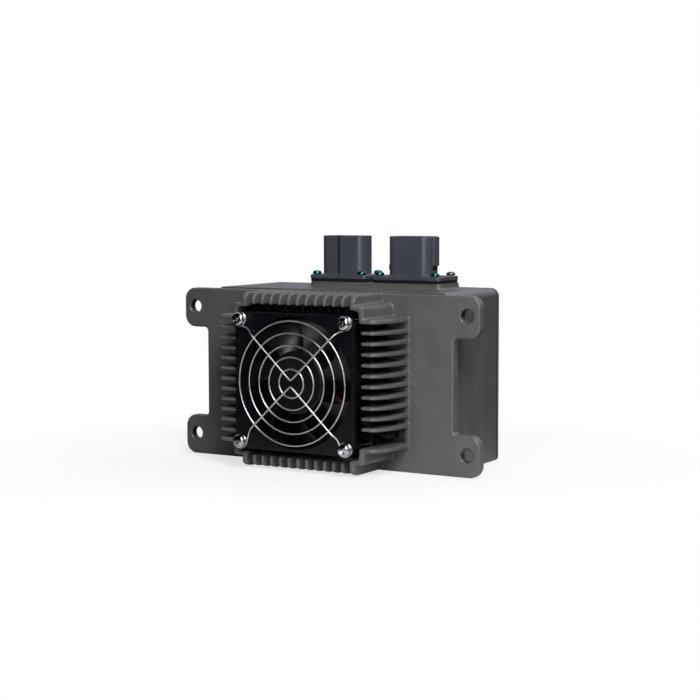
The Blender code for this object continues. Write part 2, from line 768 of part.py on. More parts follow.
def small_holes():
    """Blind screw holes and the lead hole."""
    holes = []
    bottom = FAN_HEAD_Y + fan_screw_length() + SCREW_BOTTOM
    for x, z in fan_hole_places():
        holes.append(round_bar((x, FAN_REAR_Y, z), (x, bottom, z), FAN_SCREW_RADIUS + PRESSED, 12))
    for x, z in cover_screw_places():
        end = COVER_TOP_Y - COVER_SCREW_BITE - SCREW_BOTTOM
        holes.append(round_bar((x, COVER_LOW_Y, z), (x, end, z), COVER_SCREW_RADIUS + PRESSED, 12))
    for x, z in board_screw_places():
        end = BOARD_REAR_Y - BOARD_SCREW_BITE - SCREW_BOTTOM
        holes.append(round_bar((x, BOARD_FRONT_Y, z), (x, end, z), BOARD_SCREW_RADIUS + PRESSED, 12))
    for socket in SOCKETS:
        for x, y in socket_screw_places(socket):
            low = PLATE_TOP - SOCKET_SCREW_BITE - SCREW_BOTTOM
            holes.append(round_bar((x, y, PLATE_LOW), (x, y, low), SOCKET_SCREW_RADIUS + PRESSED, 12))
    x, z = grommet_place()
    holes.append(round_bar((x, FLANGE_FRONT_Y * 2, z), (x, FLANGE_THICK, z), GROMMET_NECK + GAP, 16))
    return gather(holes)


def housing():
    """The die casting: flange, fins round the fan, case walls, seat for the sockets and posts."""
    ob = solid("housing", flange())
    join(ob, skin([along_y(case_outline(), -FLANGE_EDGE), along_y(case_outline(), CASE_DEPTH)]))
    join(ob, all_fins())
    join(ob, corner_blocks())
    join(ob, fan_posts())
    join(ob, socket_boss())
    far = (PAD_LOW_X + PAD_WIDE, PAD_FRONT_Y + PAD_DEEP)
    pad = rounded_rectangle((PAD_LOW_X, PAD_FRONT_Y), far, PAD_CORNER, 2)
    join(ob, skin([along_z(pad, CASE_HEIGHT - WALL / 2), along_z(pad, CASE_HEIGHT + PAD_PROUD)]))
    cut(ob, skin([along_y(case_outline(WALL), 0), along_y(case_outline(WALL), CASE_DEPTH + WALL)]))
    join(ob, inner_posts())
    for socket in SOCKETS:
        hole = shell_outline(socket, PLUG_INSET - GAP)
        cut(ob, skin([along_z(hole, CASE_HEIGHT - 2 * WALL), along_z(hole, BOSS_TOP + WALL)]))
    cut(ob, mounting_holes())
    cut(ob, small_holes())
    return finish(ob, CASTING)


def screw(name, place, direction, radius, head, head_tall, length, look):
    """Pan-head screw whose head sits on the place and whose shank points the other way."""
    profile = [(0, -length), (radius, -length), (radius, 0), (head, 0)]
    profile += [(head, head_tall * 0.45), (head * 0.72, head_tall * 0.9), (0, head_tall)]
    ob = solid(name, turned(profile, 10, direction), place)
    return finish(ob, look)


def rear_cover():
    """Pressed plate with a raised field, and its six holes."""
    def field(inset):
        low = (-CASE_HALF + inset, inset)
        high = (CASE_HALF - inset, CASE_HEIGHT - inset)
        return rounded_rectangle(low, high, CASE_RADIUS * 0.6)

    wide, narrow = COVER_FIELD_INSET, COVER_FIELD_INSET + 2 * COVER_FIELD_RISE
    loops = [
        along_y(field(narrow + COVER_THICK / 2), COVER_LOW_Y + COVER_FIELD_RISE),
        along_y(field(wide + COVER_THICK / 2), COVER_LOW_Y),
        along_y(case_outline(), COVER_LOW_Y),
        along_y(case_outline(), COVER_TOP_Y - GAP),
        along_y(case_outline(GAP), COVER_TOP_Y),
        along_y(field(wide), COVER_TOP_Y),
        along_y(field(narrow), COVER_TOP_Y + COVER_FIELD_RISE),
    ]
    ob = solid("rear_cover", skin(loops))
    holes = []
    for x, z in cover_screw_places():
        start, end = (x, COVER_LOW_Y - GAP, z), (x, COVER_TOP_Y + GAP, z)
        holes.append(round_bar(start, end, COVER_SCREW_RADIUS + PRESSED, 12))
    cut(ob, gather(holes))
    return finish(ob, CASTING)


def cover_gasket():
    low, high = CASE_DEPTH + GAP, CASE_DEPTH + GAP + COVER_GASKET
    outer, inner = case_outline(GAP), case_outline(WALL - GAP)
    loops = [along_y(outer, low), along_y(outer, high), along_y(inner, high), along_y(inner, low)]
    return finish(solid("cover_gasket", skin(loops, ring=True)), RUBBER)


def cover_screws():
    for i, (x, z) in enumerate(cover_screw_places()):
        place = (x, COVER_TOP_Y + GAP, z)
        screw(f"cover_screw_{i + 1}", place, REARWARD, COVER_SCREW_RADIUS, COVER_SCREW_HEAD,
              COVER_SCREW_HEAD_TALL, COVER_SCREW_BITE + GAP, DARK_STEEL)


def square_outline(half, radius, steps=3):
    return rounded_rectangle((-half, -half), (half, half), radius, steps)


def frontwards(points, s):
    """Loop across the fan's axis at s in front of its rear face."""
    return [Vector((a, -s, b)) for a, b in points]


def motor_mount():
    """Motor base with its bearing tube, turned in one: bearings sit on the shoulder from both ends."""
    bore = BEARING_RADIUS + PRESSED
    outer = bore + BEARING_TUBE_WALL
    shoulder = bore - BEARING_SHOULDER
    low = BEARING_LOW + BEARING_WIDE + GAP
    high = BEARING_TUBE_TOP - BEARING_WIDE - GAP
    profile = [
        (bore, 0), (MOTOR_BASE_RADIUS, 0), (MOTOR_BASE_RADIUS, MOTOR_BASE_THICK), (outer, MOTOR_BASE_THICK),
        (outer, BEARING_TUBE_TOP), (bore, BEARING_TUBE_TOP), (bore, high), (shoulder, high),
        (shoulder, low), (bore, low),
    ]
    return turned(profile, 24, FRONTWARD)


def struts():
    """Arms from the motor base to the duct, the lead's one wider than the rest."""
    bars = []
    for k in range(STRUT_COUNT):
        wide = STRUT_WIDE / 2
        start, end = MOTOR_BASE_RADIUS - DUCT_WALL, FAN_BORE + DUCT_WALL / 2
        outline = [(start, -wide), (end, -wide), (end, wide), (start, wide)]
        bm = skin([frontwards(outline, 0), frontwards(outline, STRUT_TALL)])
        turn = Matrix.Rotation(-LEAD_STRUT_ANGLE - k * 2 * math.pi / STRUT_COUNT, 4, "Y")
        bmesh.ops.transform(bm, matrix=turn, verts=bm.verts)
        bars.append(bm)
    return gather(bars)


def lead_groove():
    """Channel that holds the leads, from the fan's board out through the frame's edge."""
    wide = LEAD_SPREAD + LEAD_RADIUS + GAP
    start = MOTOR_BASE_RADIUS - STRUT_TALL
    outline = [(start, -wide), (FAN_SIZE, -wide), (FAN_SIZE, wide), (start, wide)]
    bm = skin([frontwards(outline, LEAD_GROOVE_FLOOR), frontwards(outline, STRUT_TALL + FAN_PLATE)])
    bmesh.ops.transform(bm, matrix=Matrix.Rotation(-LEAD_STRUT_ANGLE, 4, "Y"), verts=bm.verts)
    return bm


def fan_frame():
    """Square fan frame: round duct, a plate at each end, screw holes and the motor's mount."""
    outline = square_outline(FAN_SIZE / 2, FAN_CORNER)
    rear = skin([frontwards(outline, 0), frontwards(outline, FAN_PLATE)])
    front = skin([frontwards(outline, FAN_DEPTH - FAN_PLATE), frontwards(outline, FAN_DEPTH)])
    ob = solid("fan_frame", gather([rear, front]), FAN_AXIS)
    holes = []
    reach = FAN_HOLE_SPACING / 2
    for sx in (-1, 1):
        for sz in (-1, 1):
            start, end = (sx * reach, GAP, sz * reach), (sx * reach, -FAN_DEPTH - GAP, sz * reach)
            holes.append(round_bar(start, end, FAN_HOLE_RADIUS, 12))
    cut(ob, gather(holes))
    duct = FAN_BORE + DUCT_WALL
    low, high = FAN_PLATE / 2, FAN_DEPTH - FAN_PLATE / 2
    join(ob, turned([(0, low), (duct, low), (duct, high), (0, high)], 48, FRONTWARD))
    flare = FAN_PLATE / 3
    bore = [(0, -GAP), (FAN_BORE, -GAP), (FAN_BORE, FAN_DEPTH - flare), (FAN_BORE + flare / 2, FAN_DEPTH + GAP)]
    bore.append((0, FAN_DEPTH + GAP))
    cut(ob, turned(bore, 48, FRONTWARD))
    join(ob, struts())
    join(ob, motor_mount())
    cut(ob, lead_groove())
    return finish(ob, BLACK_PLASTIC)


def blade(turn):
    """One twisted and swept blade as a thin closed shell between the hub and the tip."""
    root, tip = HUB_RADIUS - HUB_WALL / 2, FAN_BORE - BLADE_TIP_ROOM
    spans, chords = 4, 4
    grid = []
    for i in range(spans + 1):
        part = i / spans
        radius = mix(root, tip, part)
        wrap = mix(BLADE_WRAP_ROOT, BLADE_WRAP_TIP, part)
        inset = mix(0.0, 0.0015, part)
        row = []
        for j in range(chords + 1):
            c = j / chords
            angle = turn + BLADE_SWEEP * part ** 1.5 + wrap * (c - 0.5)
            bow = 0.0012 * math.sin(math.pi * c)
            s = mix(BLADE_LOW + inset, BLADE_HIGH - inset, c) + bow
            row.append(Vector((radius * math.cos(angle), -s, radius * math.sin(angle))))
        grid.append(row)
    bm = bmesh.new()
    sheets = []
    for side in (-0.5, 0.5):
        sheet = []
        for i, row in enumerate(grid):
            line = []
            for j, point in enumerate(row):
                along = row[min(j + 1, chords)] - row[max(j - 1, 0)]
                out = grid[min(i + 1, spans)][j] - grid[max(i - 1, 0)][j]
                taper = 0.55 + 0.45 * math.sin(math.pi * (0.15 + 0.7 * j / chords))
                line.append(bm.verts.new(point + along.cross(out).normalized() * BLADE_THICK * taper * side))
            sheet.append(line)
        sheets.append(sheet)
    low, high = sheets
    for i in range(spans):
        for j in range(chords):
            bm.faces.new((low[i][j], low[i + 1][j], low[i + 1][j + 1], low[i][j + 1]))
            bm.faces.new((high[i][j], high[i][j + 1], high[i + 1][j + 1], high[i + 1][j]))
    rim = [(i, 0) for i in range(spans)] + [(spans, j) for j in range(chords)]
    rim += [(i, chords) for i in range(spans, 0, -1)] + [(0, j) for j in range(chords, 0, -1)]
    for (a, b), (c, d) in zip(rim, rim[1:] + rim[:1]):
        bm.faces.new((low[a][b], low[c][d], high[c][d], high[a][b]))
    bmesh.ops.recalc_face_normals(bm, faces=bm.faces)
    return bm


def fan_impeller():
    """Hub cup and its blades in one moulding, with a boss for the shaft."""
    inner = HUB_RADIUS - HUB_WALL
    disc = HUB_FRONT - HUB_DISC
    bore = SHAFT_RADIUS + PRESSED
    boss_low = BEARING_TUBE_TOP + GAP * 3
    profile = [
        (0, HUB_FRONT), (HUB_RADIUS - HUB_EDGE, HUB_FRONT),
        (HUB_RADIUS - HUB_EDGE * 0.3, HUB_FRONT - HUB_EDGE * 0.3),
        (HUB_RADIUS, HUB_FRONT - HUB_EDGE), (HUB_RADIUS, HUB_LOW), (inner, HUB_LOW), (inner, disc),
        (BOSS_RADIUS, disc), (BOSS_RADIUS, boss_low), (bore, boss_low), (bore, disc), (0, disc),
    ]
    ob = solid("fan_impeller", turned(profile, 28, FRONTWARD), FAN_AXIS)
    join(ob, gather([blade(2 * math.pi * k / BLADE_COUNT) for k in range(BLADE_COUNT)]))
    return finish(ob, BLACK_PLASTIC)


def rotor_rings():
    """Steel yoke inside the hub, and the magnet ring inside the yoke."""
    outer = HUB_RADIUS - HUB_WALL - GAP
    inner = outer - YOKE_WALL
    top = HUB_FRONT - HUB_DISC - GAP
    hole = BOSS_RADIUS + GAP
    low = HUB_LOW + GAP
    profile = [(hole, top), (outer, top), (outer, low), (inner, low)]
    profile += [(inner, top - YOKE_WALL), (hole, top - YOKE_WALL)]
    finish(solid("fan_yoke", turned(profile, 24, FRONTWARD), FAN_AXIS), DARK_STEEL)
    outer = inner - GAP
    inner = outer - MAGNET_WALL
    low, high = MAGNET_LOW, MAGNET_LOW + MAGNET_TALL
    profile = [(outer, low), (outer, high), (inner, high), (inner, low)]
    finish(solid("fan_magnet", turned(profile, 24, FRONTWARD), FAN_AXIS), FERRITE)
    return inner


def bearings_and_shaft():
    """Two ball bearings in the tube, and the shaft that runs in them."""
    bore = SHAFT_RADIUS + RUNNING
    lows = (("fan_bearing_rear", BEARING_LOW), ("fan_bearing_front", BEARING_TUBE_TOP - BEARING_WIDE))
    for name, low in lows:
        high = low + BEARING_WIDE
        profile = [(bore, low), (BEARING_RADIUS, low), (BEARING_RADIUS, high), (bore, high)]
        finish(solid(name, turned(profile, 24, FRONTWARD), FAN_AXIS), BRIGHT_STEEL)
    top = HUB_FRONT - HUB_DISC - GAP
    profile = [(0, GAP), (SHAFT_RADIUS * 0.8, GAP), (SHAFT_RADIUS, GAP * 2), (SHAFT_RADIUS, top), (0, top)]
    finish(solid("fan_shaft", turned(profile, 24, FRONTWARD), FAN_AXIS), BRIGHT_STEEL)


def stator(magnet_inner):
    """Four wound poles on a hub that sits on the bearing tube."""
    reach = magnet_inner - STATOR_AIR
    inner = BEARING_RADIUS + PRESSED + BEARING_TUBE_WALL + GAP
    outline = []
    for pole in range(4):
        middle = pole * 90
        tip = [(angle, reach) for angle in (-36, -12, 12, 36)]
        for angle, radius in tip + [(39, reach * 0.82), (45, inner * 1.5)]:
            outline.append((radius, math.radians(middle + angle)))
        outline.append((reach * 0.82, math.radians(middle + 51)))
    points = [(r * math.cos(t), r * math.sin(t)) for r, t in outline]
    low, high = STATOR_LOW, STATOR_LOW + STATOR_TALL
    ob = solid("fan_stator", skin([frontwards(points, low), frontwards(points, high)]), FAN_AXIS)
    cut(ob, round_bar((0, -low + GAP, 0), (0, -high - GAP, 0), inner, 24))
    return finish(ob, COPPER)


def fan_board():
    """Small round board between the motor base and the stator."""
    inner = BEARING_RADIUS + PRESSED + BEARING_TUBE_WALL + GAP
    outer = MOTOR_BASE_RADIUS - STRUT_TALL - GAP
    low = MOTOR_BASE_THICK + GAP
    high = low + FAN_BOARD_THICK
    profile = [(inner, low), (outer, low), (outer, high), (inner, high)]
    finish(solid("fan_circuit_board", turned(profile, 24, FRONTWARD), FAN_AXIS), BOARD_GREEN)


def guard_ring(radius, y):
    steps = max(16, int(radius / 0.001) + 4)
    turns = [2 * math.pi * i / steps for i in range(steps)]
    path = [Vector((radius * math.cos(t), y, FAN_Z + radius * math.sin(t))) for t in turns]
    return tube(path, GUARD_WIRE, 6, closed=True)


def guard_arm(up):
    """One bent wire: an eye round a screw, in to a tip beside the middle, and out to the next eye."""
    ring_y = FAN_FRONT_Y - GUARD_STAND_OFF
    arm_y = ring_y - GUARD_WIRE - GUARD_ARM_WIRE + GUARD_WELD
    half = FAN_HOLE_SPACING / 2
    middle = Vector((0, arm_y, FAN_Z + up * GUARD_TIP))
    halves = []
    for side in (-1, 1):
        corner = Vector((side * half, LOOP_Y, FAN_Z + up * half))
        inward = Vector((-side, 0, -up)).normalized()
        turns = [math.radians(a) for a in range(0, 271, 34)]
        base = math.atan2(inward.z, inward.x) + side * up * math.radians(58)
        eye = [corner + GUARD_LOOP * Vector((math.cos(base + side * up * t), 0, math.sin(base + side * up * t)))
               for t in turns]
        eye.reverse()
        low = corner + inward * (GUARD_LOOP * 2.1)
        high = corner + inward * (GUARD_LOOP * 3.3)
        high.y = arm_y
        near = middle + Vector((side * GUARD_TIP * 1.1, 0, up * GUARD_TIP * 0.9))
        halves.append(eye + [low, high, near])
    return halves[0] + [middle] + list(reversed(halves[1]))


def finger_guard():
    """Five wire rings with two bent arms welded across their front."""
    ring_y = FAN_FRONT_Y - GUARD_STAND_OFF
    rings = [guard_ring(GUARD_INNER + k * GUARD_RING_STEP, ring_y) for k in range(GUARD_RINGS)]
    ob = solid("finger_guard", gather(rings))
    for up in (1, -1):
        join(ob, tube(guard_arm(up), GUARD_ARM_WIRE, 6))
    return finish(ob, BRIGHT_STEEL, 50)


def fan_screw_length():
    return FAN_REAR_Y - FAN_HEAD_Y + FAN_SCREW_BITE


def fan_fixings():
    """A screw and a washer at each corner of the fan."""
    hole = FAN_SCREW_RADIUS + PRESSED
    for i, (x, z) in enumerate(fan_hole_places()):
        profile = [(hole, 0), (WASHER_RADIUS, 0), (WASHER_RADIUS, WASHER_THICK), (hole, WASHER_THICK)]
        washer = solid(f"fan_washer_{i + 1}", turned(profile, 12, FRONTWARD), (x, WASHER_Y, z))
        finish(washer, BRIGHT_STEEL)
        screw(f"fan_screw_{i + 1}", (x, FAN_HEAD_Y, z), FRONTWARD, FAN_SCREW_RADIUS, FAN_SCREW_HEAD,
              FAN_SCREW_HEAD_TALL, fan_screw_length(), BRIGHT_STEEL)


def lead_path(side):
    """Route of one lead: along its strut, out of the frame, through the grommet and on to the board."""
    along = Vector((math.cos(LEAD_STRUT_ANGLE), 0, math.sin(LEAD_STRUT_ANGLE)))
    across = Vector((-math.sin(LEAD_STRUT_ANGLE), 0, math.cos(LEAD_STRUT_ANGLE))) * side * LEAD_SPREAD
    height = LEAD_GROOVE_FLOOR + GAP + LEAD_RADIUS
    axis = FAN_AXIS + Vector((0, -height, 0))
    start = MOTOR_BASE_RADIUS - STRUT_TALL + GAP
    edge = FAN_SIZE / 2 / along.x
    x, z = grommet_place()
    down = Vector((x, 0, z)) + across
    corner = Vector((down.x, axis.y, down.z))
    end = Vector((down.x, BOARD_FRONT_Y - GAP, down.z))
    corners = [axis + along * start + across, axis + along * edge + across, corner, end]
    return soft_path(corners, LEAD_RADIUS * 4, 4)


def fan_leads():
    for name, side, look in (("fan_lead_red", 1, RED_SLEEVE), ("fan_lead_black", -1, BLACK_SLEEVE)):
        finish(solid(name, tube(lead_path(side), LEAD_RADIUS, 8)), look)


def lead_grommet():
    """Rubber grommet with a lip on each side of the flange."""
    x, z = grommet_place()
    lip, thick = GROMMET_NECK + GROMMET_LIP, GROMMET_LIP_THICK
    front, rear = GAP, -FLANGE_THICK - GAP
    profile = [
        (GROMMET_BORE, rear - thick), (lip, rear - thick), (lip, rear), (GROMMET_NECK, rear),
        (GROMMET_NECK, front), (lip, front), (lip, front + thick), (GROMMET_BORE, front + thick),
    ]
    ob = solid("lead_grommet", turned(profile, 16, FRONTWARD), (x, FLANGE_FRONT_Y, z))
    return finish(ob, RUBBER)


def plate_outline(socket, grow=0.0):
    half_x, half_y = socket.plate_wide / 2 + grow, PLATE_DEEP / 2 + grow
    low, high = (socket.plate_x - half_x, SOCKET_Y - half_y), (socket.plate_x + half_x, SOCKET_Y + half_y)
    return rounded_rectangle(low, high, SOCKET_PLATE_CORNER, 3)


def screw_slots(socket, low, high):
    """Slots for the screws, open to the plate's nearer edge."""
    wide = SOCKET_SCREW_RADIUS + PRESSED
    slots = []
    for x, y in socket_screw_places(socket):
        end = y + math.copysign(PLATE_DEEP / 2, y - SOCKET_Y)
        if y < SOCKET_Y:
            outline = arc((x, y), wide, 0, 180, 5) + [(x - wide, end), (x + wide, end)]
        else:
            outline = arc((x, y), wide, 180, 360, 5) + [(x + wide, end), (x - wide, end)]
        slots.append(skin([along_z(outline, low), along_z(outline, high)]))
    return gather(slots)


def socket_pins(kind):
    """Offset and contact radius of each pin of a socket."""
    if kind == "input":
        count, pitch, radius = INPUT_PIN_COUNT, INPUT_PIN_PITCH, INPUT_PIN_RADIUS
    else:
        count, pitch, radius = OUTPUT_PIN_COUNT, OUTPUT_PIN_PITCH, OUTPUT_PIN_RADIUS
    return [((i - (count - 1) / 2) * pitch, radius) for i in range(count)]


def socket_body(socket):
    """Socket moulding: open shell, floor, flange plate and the plug that passes into the case."""
    floor = PLATE_TOP + SOCKET_FLOOR
    bottom = CASE_HEIGHT - WALL - PLUG_BELOW
    inner, shell, plug = [shell_outline(socket, inset) for inset in (SHELL_WALL, 0, PLUG_INSET)]
    plate = plate_outline(socket)
    loops = [
        along_z(inner, floor), along_z(inner, SHELL_TOP), along_z(shell, SHELL_TOP), along_z(shell, PLATE_TOP),
        along_z(plate, PLATE_TOP), along_z(plate, PLATE_LOW), along_z(plug, PLATE_LOW), along_z(plug, bottom),
    ]
    ob = solid(f"{socket.kind}_socket", skin(loops))
    cut(ob, screw_slots(socket, PLATE_LOW - GAP, PLATE_TOP + GAP))
    holes = []
    for offset, radius in socket_pins(socket.kind):
        x = socket.shell_x + offset
        holes.append(round_bar((x, SOCKET_Y, bottom - GAP), (x, SOCKET_Y, floor + GAP), radius + PRESSED, 12))
    cut(ob, gather(holes))
    if socket.kind == "input":
        add_key_groove(ob, socket)
    else:
        add_latch_features(ob, socket)
    return finish(ob, SLATE_PLASTIC)


def add_key_groove(ob, socket):
    """Keyway down the front of the shell."""
    x = socket.shell_x + KEY_GROOVE_OFFSET
    front = SOCKET_Y - socket.shell_deep / 2
    half = KEY_GROOVE_WIDE / 2
    low = (x - half, front - GAP, PLATE_TOP + GAP)
    high = (x + half, front + KEY_GROOVE_DEEP, SHELL_TOP + GAP)
    cut(ob, box(low, high))


def add_latch_features(ob, socket):
    """Latch rib with a window on the right, and a small catch on the left."""
    right = socket.shell_x + socket.shell_wide / 2
    left = socket.shell_x - socket.shell_wide / 2
    window_low = PLATE_TOP + LATCH_WINDOW_RISE
    window_high = window_low + LATCH_WINDOW_TALL
    half = LATCH_RIB_WIDE / 2
    middle = SOCKET_Y + half
    low = (right - SHELL_WALL / 2, middle - half, window_high)
    high = (right + LATCH_RIB_PROUD, middle + half, SHELL_TOP - GAP)
    join(ob, box(low, high))
    low = (right - SHELL_WALL * 2, middle - half + GAP, window_low)
    high = (right + LATCH_RIB_PROUD * 2, middle + half - GAP, window_high)
    cut(ob, box(low, high))
    catch = [(left + SHELL_WALL / 2, window_low), (left - LATCH_RIB_PROUD, window_low)]
    catch += [(left - LATCH_RIB_PROUD, window_high)]
    catch += [(left + SHELL_WALL / 2, window_high + 2 * LATCH_WINDOW_TALL)]
    front = SOCKET_Y - socket.shell_deep / 2 + SHELL_CORNER
    join(ob, skin([along_y(catch, front), along_y(catch, front + LATCH_RIB_WIDE)]))


def sockets():
    """Both sockets with their gaskets, screws and pins."""
    for socket in SOCKETS:
        kind = socket.kind
        socket_body(socket)
        low, high = BOSS_TOP + GAP, BOSS_TOP + GAP + SOCKET_GASKET
        outer = plate_outline(socket, GAP)
        inner = shell_outline(socket, PLUG_INSET - GAP)
        loops = [along_z(outer, low), along_z(outer, high), along_z(inner, high), along_z(inner, low)]
        gasket = solid(f"{kind}_gasket", skin(loops, ring=True))
        cut(gasket, screw_slots(socket, low - GAP, high + GAP))
        finish(gasket, RUBBER)
        for i, (x, y) in enumerate(socket_screw_places(socket)):
            screw(f"{kind}_screw_{i + 1}", (x, y, PLATE_TOP + GAP), UPWARD, SOCKET_SCREW_RADIUS,
                  SOCKET_SCREW_HEAD, SOCKET_SCREW_HEAD_TALL, SOCKET_SCREW_BITE + GAP, GREEN_ZINC)
        floor = PLATE_TOP + SOCKET_FLOOR
        bottom = CASE_HEIGHT - WALL - PLUG_BELOW
        for i, (offset, radius) in enumerate(socket_pins(kind)):
            top = floor + PIN_RISE
            tail = PIN_TAIL_RADIUS
            profile = [
                (0, bottom - PIN_TAIL_LENGTH), (tail, bottom - PIN_TAIL_LENGTH), (tail, bottom - GAP),
                (radius, bottom), (radius, top - radius / 2), (radius * 0.6, top), (0, top),
            ]
            pin = solid(f"{kind}_pin_{i + 1}", turned(profile, 12), (socket.shell_x + offset, SOCKET_Y, 0))
            finish(pin, PLATED_PIN)


def main_board():
    """Board on its four posts, with the screws that hold it."""
    low = (-BOARD_HALF, BOARD_FRONT_Y, BOARD_LOW_Z)
    high = (BOARD_HALF, BOARD_REAR_Y, BOARD_TOP_Z)
    ob = solid("main_board", box(low, high))
    holes = []
    for x, z in board_screw_places():
        start, end = (x, BOARD_FRONT_Y - GAP, z), (x, BOARD_REAR_Y + GAP, z)
        holes.append(round_bar(start, end, BOARD_SCREW_RADIUS + PRESSED, 12))
    cut(ob, gather(holes))
    finish(ob, BOARD_GREEN)
    for i, (x, z) in enumerate(board_screw_places()):
        screw(f"board_screw_{i + 1}", (x, BOARD_REAR_Y + GAP, z), REARWARD, BOARD_SCREW_RADIUS,
              BOARD_SCREW_HEAD, BOARD_SCREW_HEAD_TALL, BOARD_SCREW_BITE, DARK_STEEL)


def transformer():
    """Two ferrite halves with round middle legs, and the winding between them."""
    low, high = GAP, BOARD_FRONT_Y - GAP
    split = (low + high) / 2
    halves = (("core_half_front", low, split - GAP / 2), ("core_half_rear", high, split + GAP / 2))
    for name, outer, inner in halves:
        back = outer + math.copysign(CORE_BACK, inner - outer)
        side, top = CORE_WIDE / 2, CORE_TALL / 2
        leg = side - CORE_LEG
        ends = [outer, inner, inner, back, back, inner, inner, outer]
        xs = [-side, -side, -leg, -leg, leg, leg, side, side]
        profile = [(CORE_X + x, y) for x, y in zip(xs, ends)]
        bm = skin([along_z(profile, CORE_Z - top), along_z(profile, CORE_Z + top)])
        ob = solid(name, bm)
        start = (CORE_X, mix(outer, back, 0.5), CORE_Z)
        join(ob, round_bar(start, (CORE_X, inner, CORE_Z), CORE_CENTRE_RADIUS, 20))
        finish(ob, FERRITE)
    bore = CORE_CENTRE_RADIUS + WINDING_ROOM
    reach = CORE_WIDE / 2 - CORE_LEG - WINDING_ROOM
    start, end = low + CORE_BACK + WINDING_ROOM, high - CORE_BACK - WINDING_ROOM
    profile = [(bore, start), (reach, start), (reach, end), (bore, end)]
    ob = solid("transformer_winding", turned(profile, 24, REARWARD), (CORE_X, 0, CORE_Z))
    finish(ob, COPPER)


def capacitors():
    """Two smoothing cans with rolled rims, standing on the board."""
    low = BOARD_REAR_Y + GAP
    rim = CAPACITOR_RADIUS * 0.12
    neck = CAPACITOR_RADIUS * 0.92
    high = low + CAPACITOR_TALL
    profile = [
        (0, low), (CAPACITOR_RADIUS - rim, low),
        (CAPACITOR_RADIUS, low + rim), (CAPACITOR_RADIUS, low + 2 * rim),
        (neck, low + 2.6 * rim), (CAPACITOR_RADIUS, low + 3.2 * rim), (CAPACITOR_RADIUS, high - rim),
        (CAPACITOR_RADIUS - rim, high), (0, high),
    ]
    for i in range(2):
        place = (CAPACITOR_X, 0, CAPACITOR_LOW_Z + i * CAPACITOR_PITCH)
        finish(solid(f"smoothing_capacitor_{i + 1}", turned(profile, 20, REARWARD), place), CAN_SLEEVE)


def choke():
    """Wound ring core lying on the board, its turns as rounds about the ring."""
    low = BOARD_REAR_Y + GAP
    outer, inner = [], []
    for i in range(CHOKE_TURNS * 2):
        turn = math.pi * i / CHOKE_TURNS
        wave = CHOKE_GROOVE if i % 2 else 0.0
        outer.append((CHOKE_RADIUS - wave, turn))
        inner.append((CHOKE_BORE + wave * CHOKE_BORE / CHOKE_RADIUS, turn))

    def loop(ring, inset, y):
        places = [((r - inset) * math.cos(t), (r - inset) * math.sin(t)) for r, t in ring]
        return [Vector((CHOKE_X + a, y, CHOKE_Z + b)) for a, b in places]

    edge = CHOKE_GROOVE
    high = low + CHOKE_TALL
    loops = [
        loop(outer, edge, low), loop(outer, 0, low + edge),
        loop(outer, 0, high - edge), loop(outer, edge, high),
        loop(inner, -edge, high), loop(inner, 0, high - edge),
        loop(inner, 0, low + edge), loop(inner, -edge, low),
    ]
    finish(solid("filter_choke", skin(loops, ring=True)), COPPER)


def power_transistors():
    """Flat packages lying on the flange's rear face, with legs bent up to the board."""
    back = GAP
    front = back + TRANSISTOR_THICK
    leg_y = back + TRANSISTOR_THICK / 2
    for i in range(2):
        x = TRANSISTOR_X + i * TRANSISTOR_PITCH
        low = (x - TRANSISTOR_WIDE / 2, back, TRANSISTOR_LOW_Z)
        high = (x + TRANSISTOR_WIDE / 2, front, TRANSISTOR_LOW_Z + TRANSISTOR_TALL)
        bm = box(low, high)
        ob = solid(f"power_transistor_{i + 1}", bm)
        legs = []
        half = LEG_WIDE / 2
        for k in (-1, 0, 1):
            top, bottom = TRANSISTOR_LOW_Z + LEG_DROP, TRANSISTOR_LOW_Z - LEG_DROP
            outline = [
                (leg_y - half, top), (leg_y - half, bottom), (BOARD_FRONT_Y - GAP, bottom),
                (BOARD_FRONT_Y - GAP, bottom + LEG_WIDE),
                (leg_y + half, bottom + LEG_WIDE), (leg_y + half, top),
            ]
            left = x + k * LEG_PITCH - half
            legs.append(skin([along_x(outline, left), along_x(outline, left + LEG_WIDE)]))
        join(ob, gather(legs))
        finish(ob, EPOXY_BLACK)


def main():
    clear_scene()
    housing()
    rear_cover()
    cover_gasket()
    cover_screws()
    fan_frame()
    fan_impeller()
    magnet_inner = rotor_rings()
    bearings_and_shaft()
    stator(magnet_inner)
    fan_board()
    fan_leads()
    lead_grommet()
    finger_guard()
    fan_fixings()
    sockets()
    main_board()
    transformer()
    capacitors()
    choke()
    power_transistors()


main()
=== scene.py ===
import math

import bmesh
import bpy
from mathutils import Matrix, Vector


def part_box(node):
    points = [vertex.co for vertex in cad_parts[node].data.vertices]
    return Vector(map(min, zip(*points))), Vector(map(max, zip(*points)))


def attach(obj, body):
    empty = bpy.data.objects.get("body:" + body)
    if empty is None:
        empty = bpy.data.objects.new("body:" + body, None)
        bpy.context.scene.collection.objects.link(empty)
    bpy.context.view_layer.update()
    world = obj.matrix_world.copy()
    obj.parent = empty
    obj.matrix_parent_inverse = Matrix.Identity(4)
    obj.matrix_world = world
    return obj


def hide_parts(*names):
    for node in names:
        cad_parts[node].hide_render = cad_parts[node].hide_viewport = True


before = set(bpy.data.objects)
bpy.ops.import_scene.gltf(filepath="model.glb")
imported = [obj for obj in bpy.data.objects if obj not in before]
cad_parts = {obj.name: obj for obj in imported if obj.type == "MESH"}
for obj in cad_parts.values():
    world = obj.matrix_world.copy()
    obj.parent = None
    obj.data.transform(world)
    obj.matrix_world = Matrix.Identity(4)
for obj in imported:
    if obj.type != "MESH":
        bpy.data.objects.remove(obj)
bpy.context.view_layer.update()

# Sizes of the charger, in metres, in the CAD model's frame
GAP = 0.0003
PRESSED = 0.0001

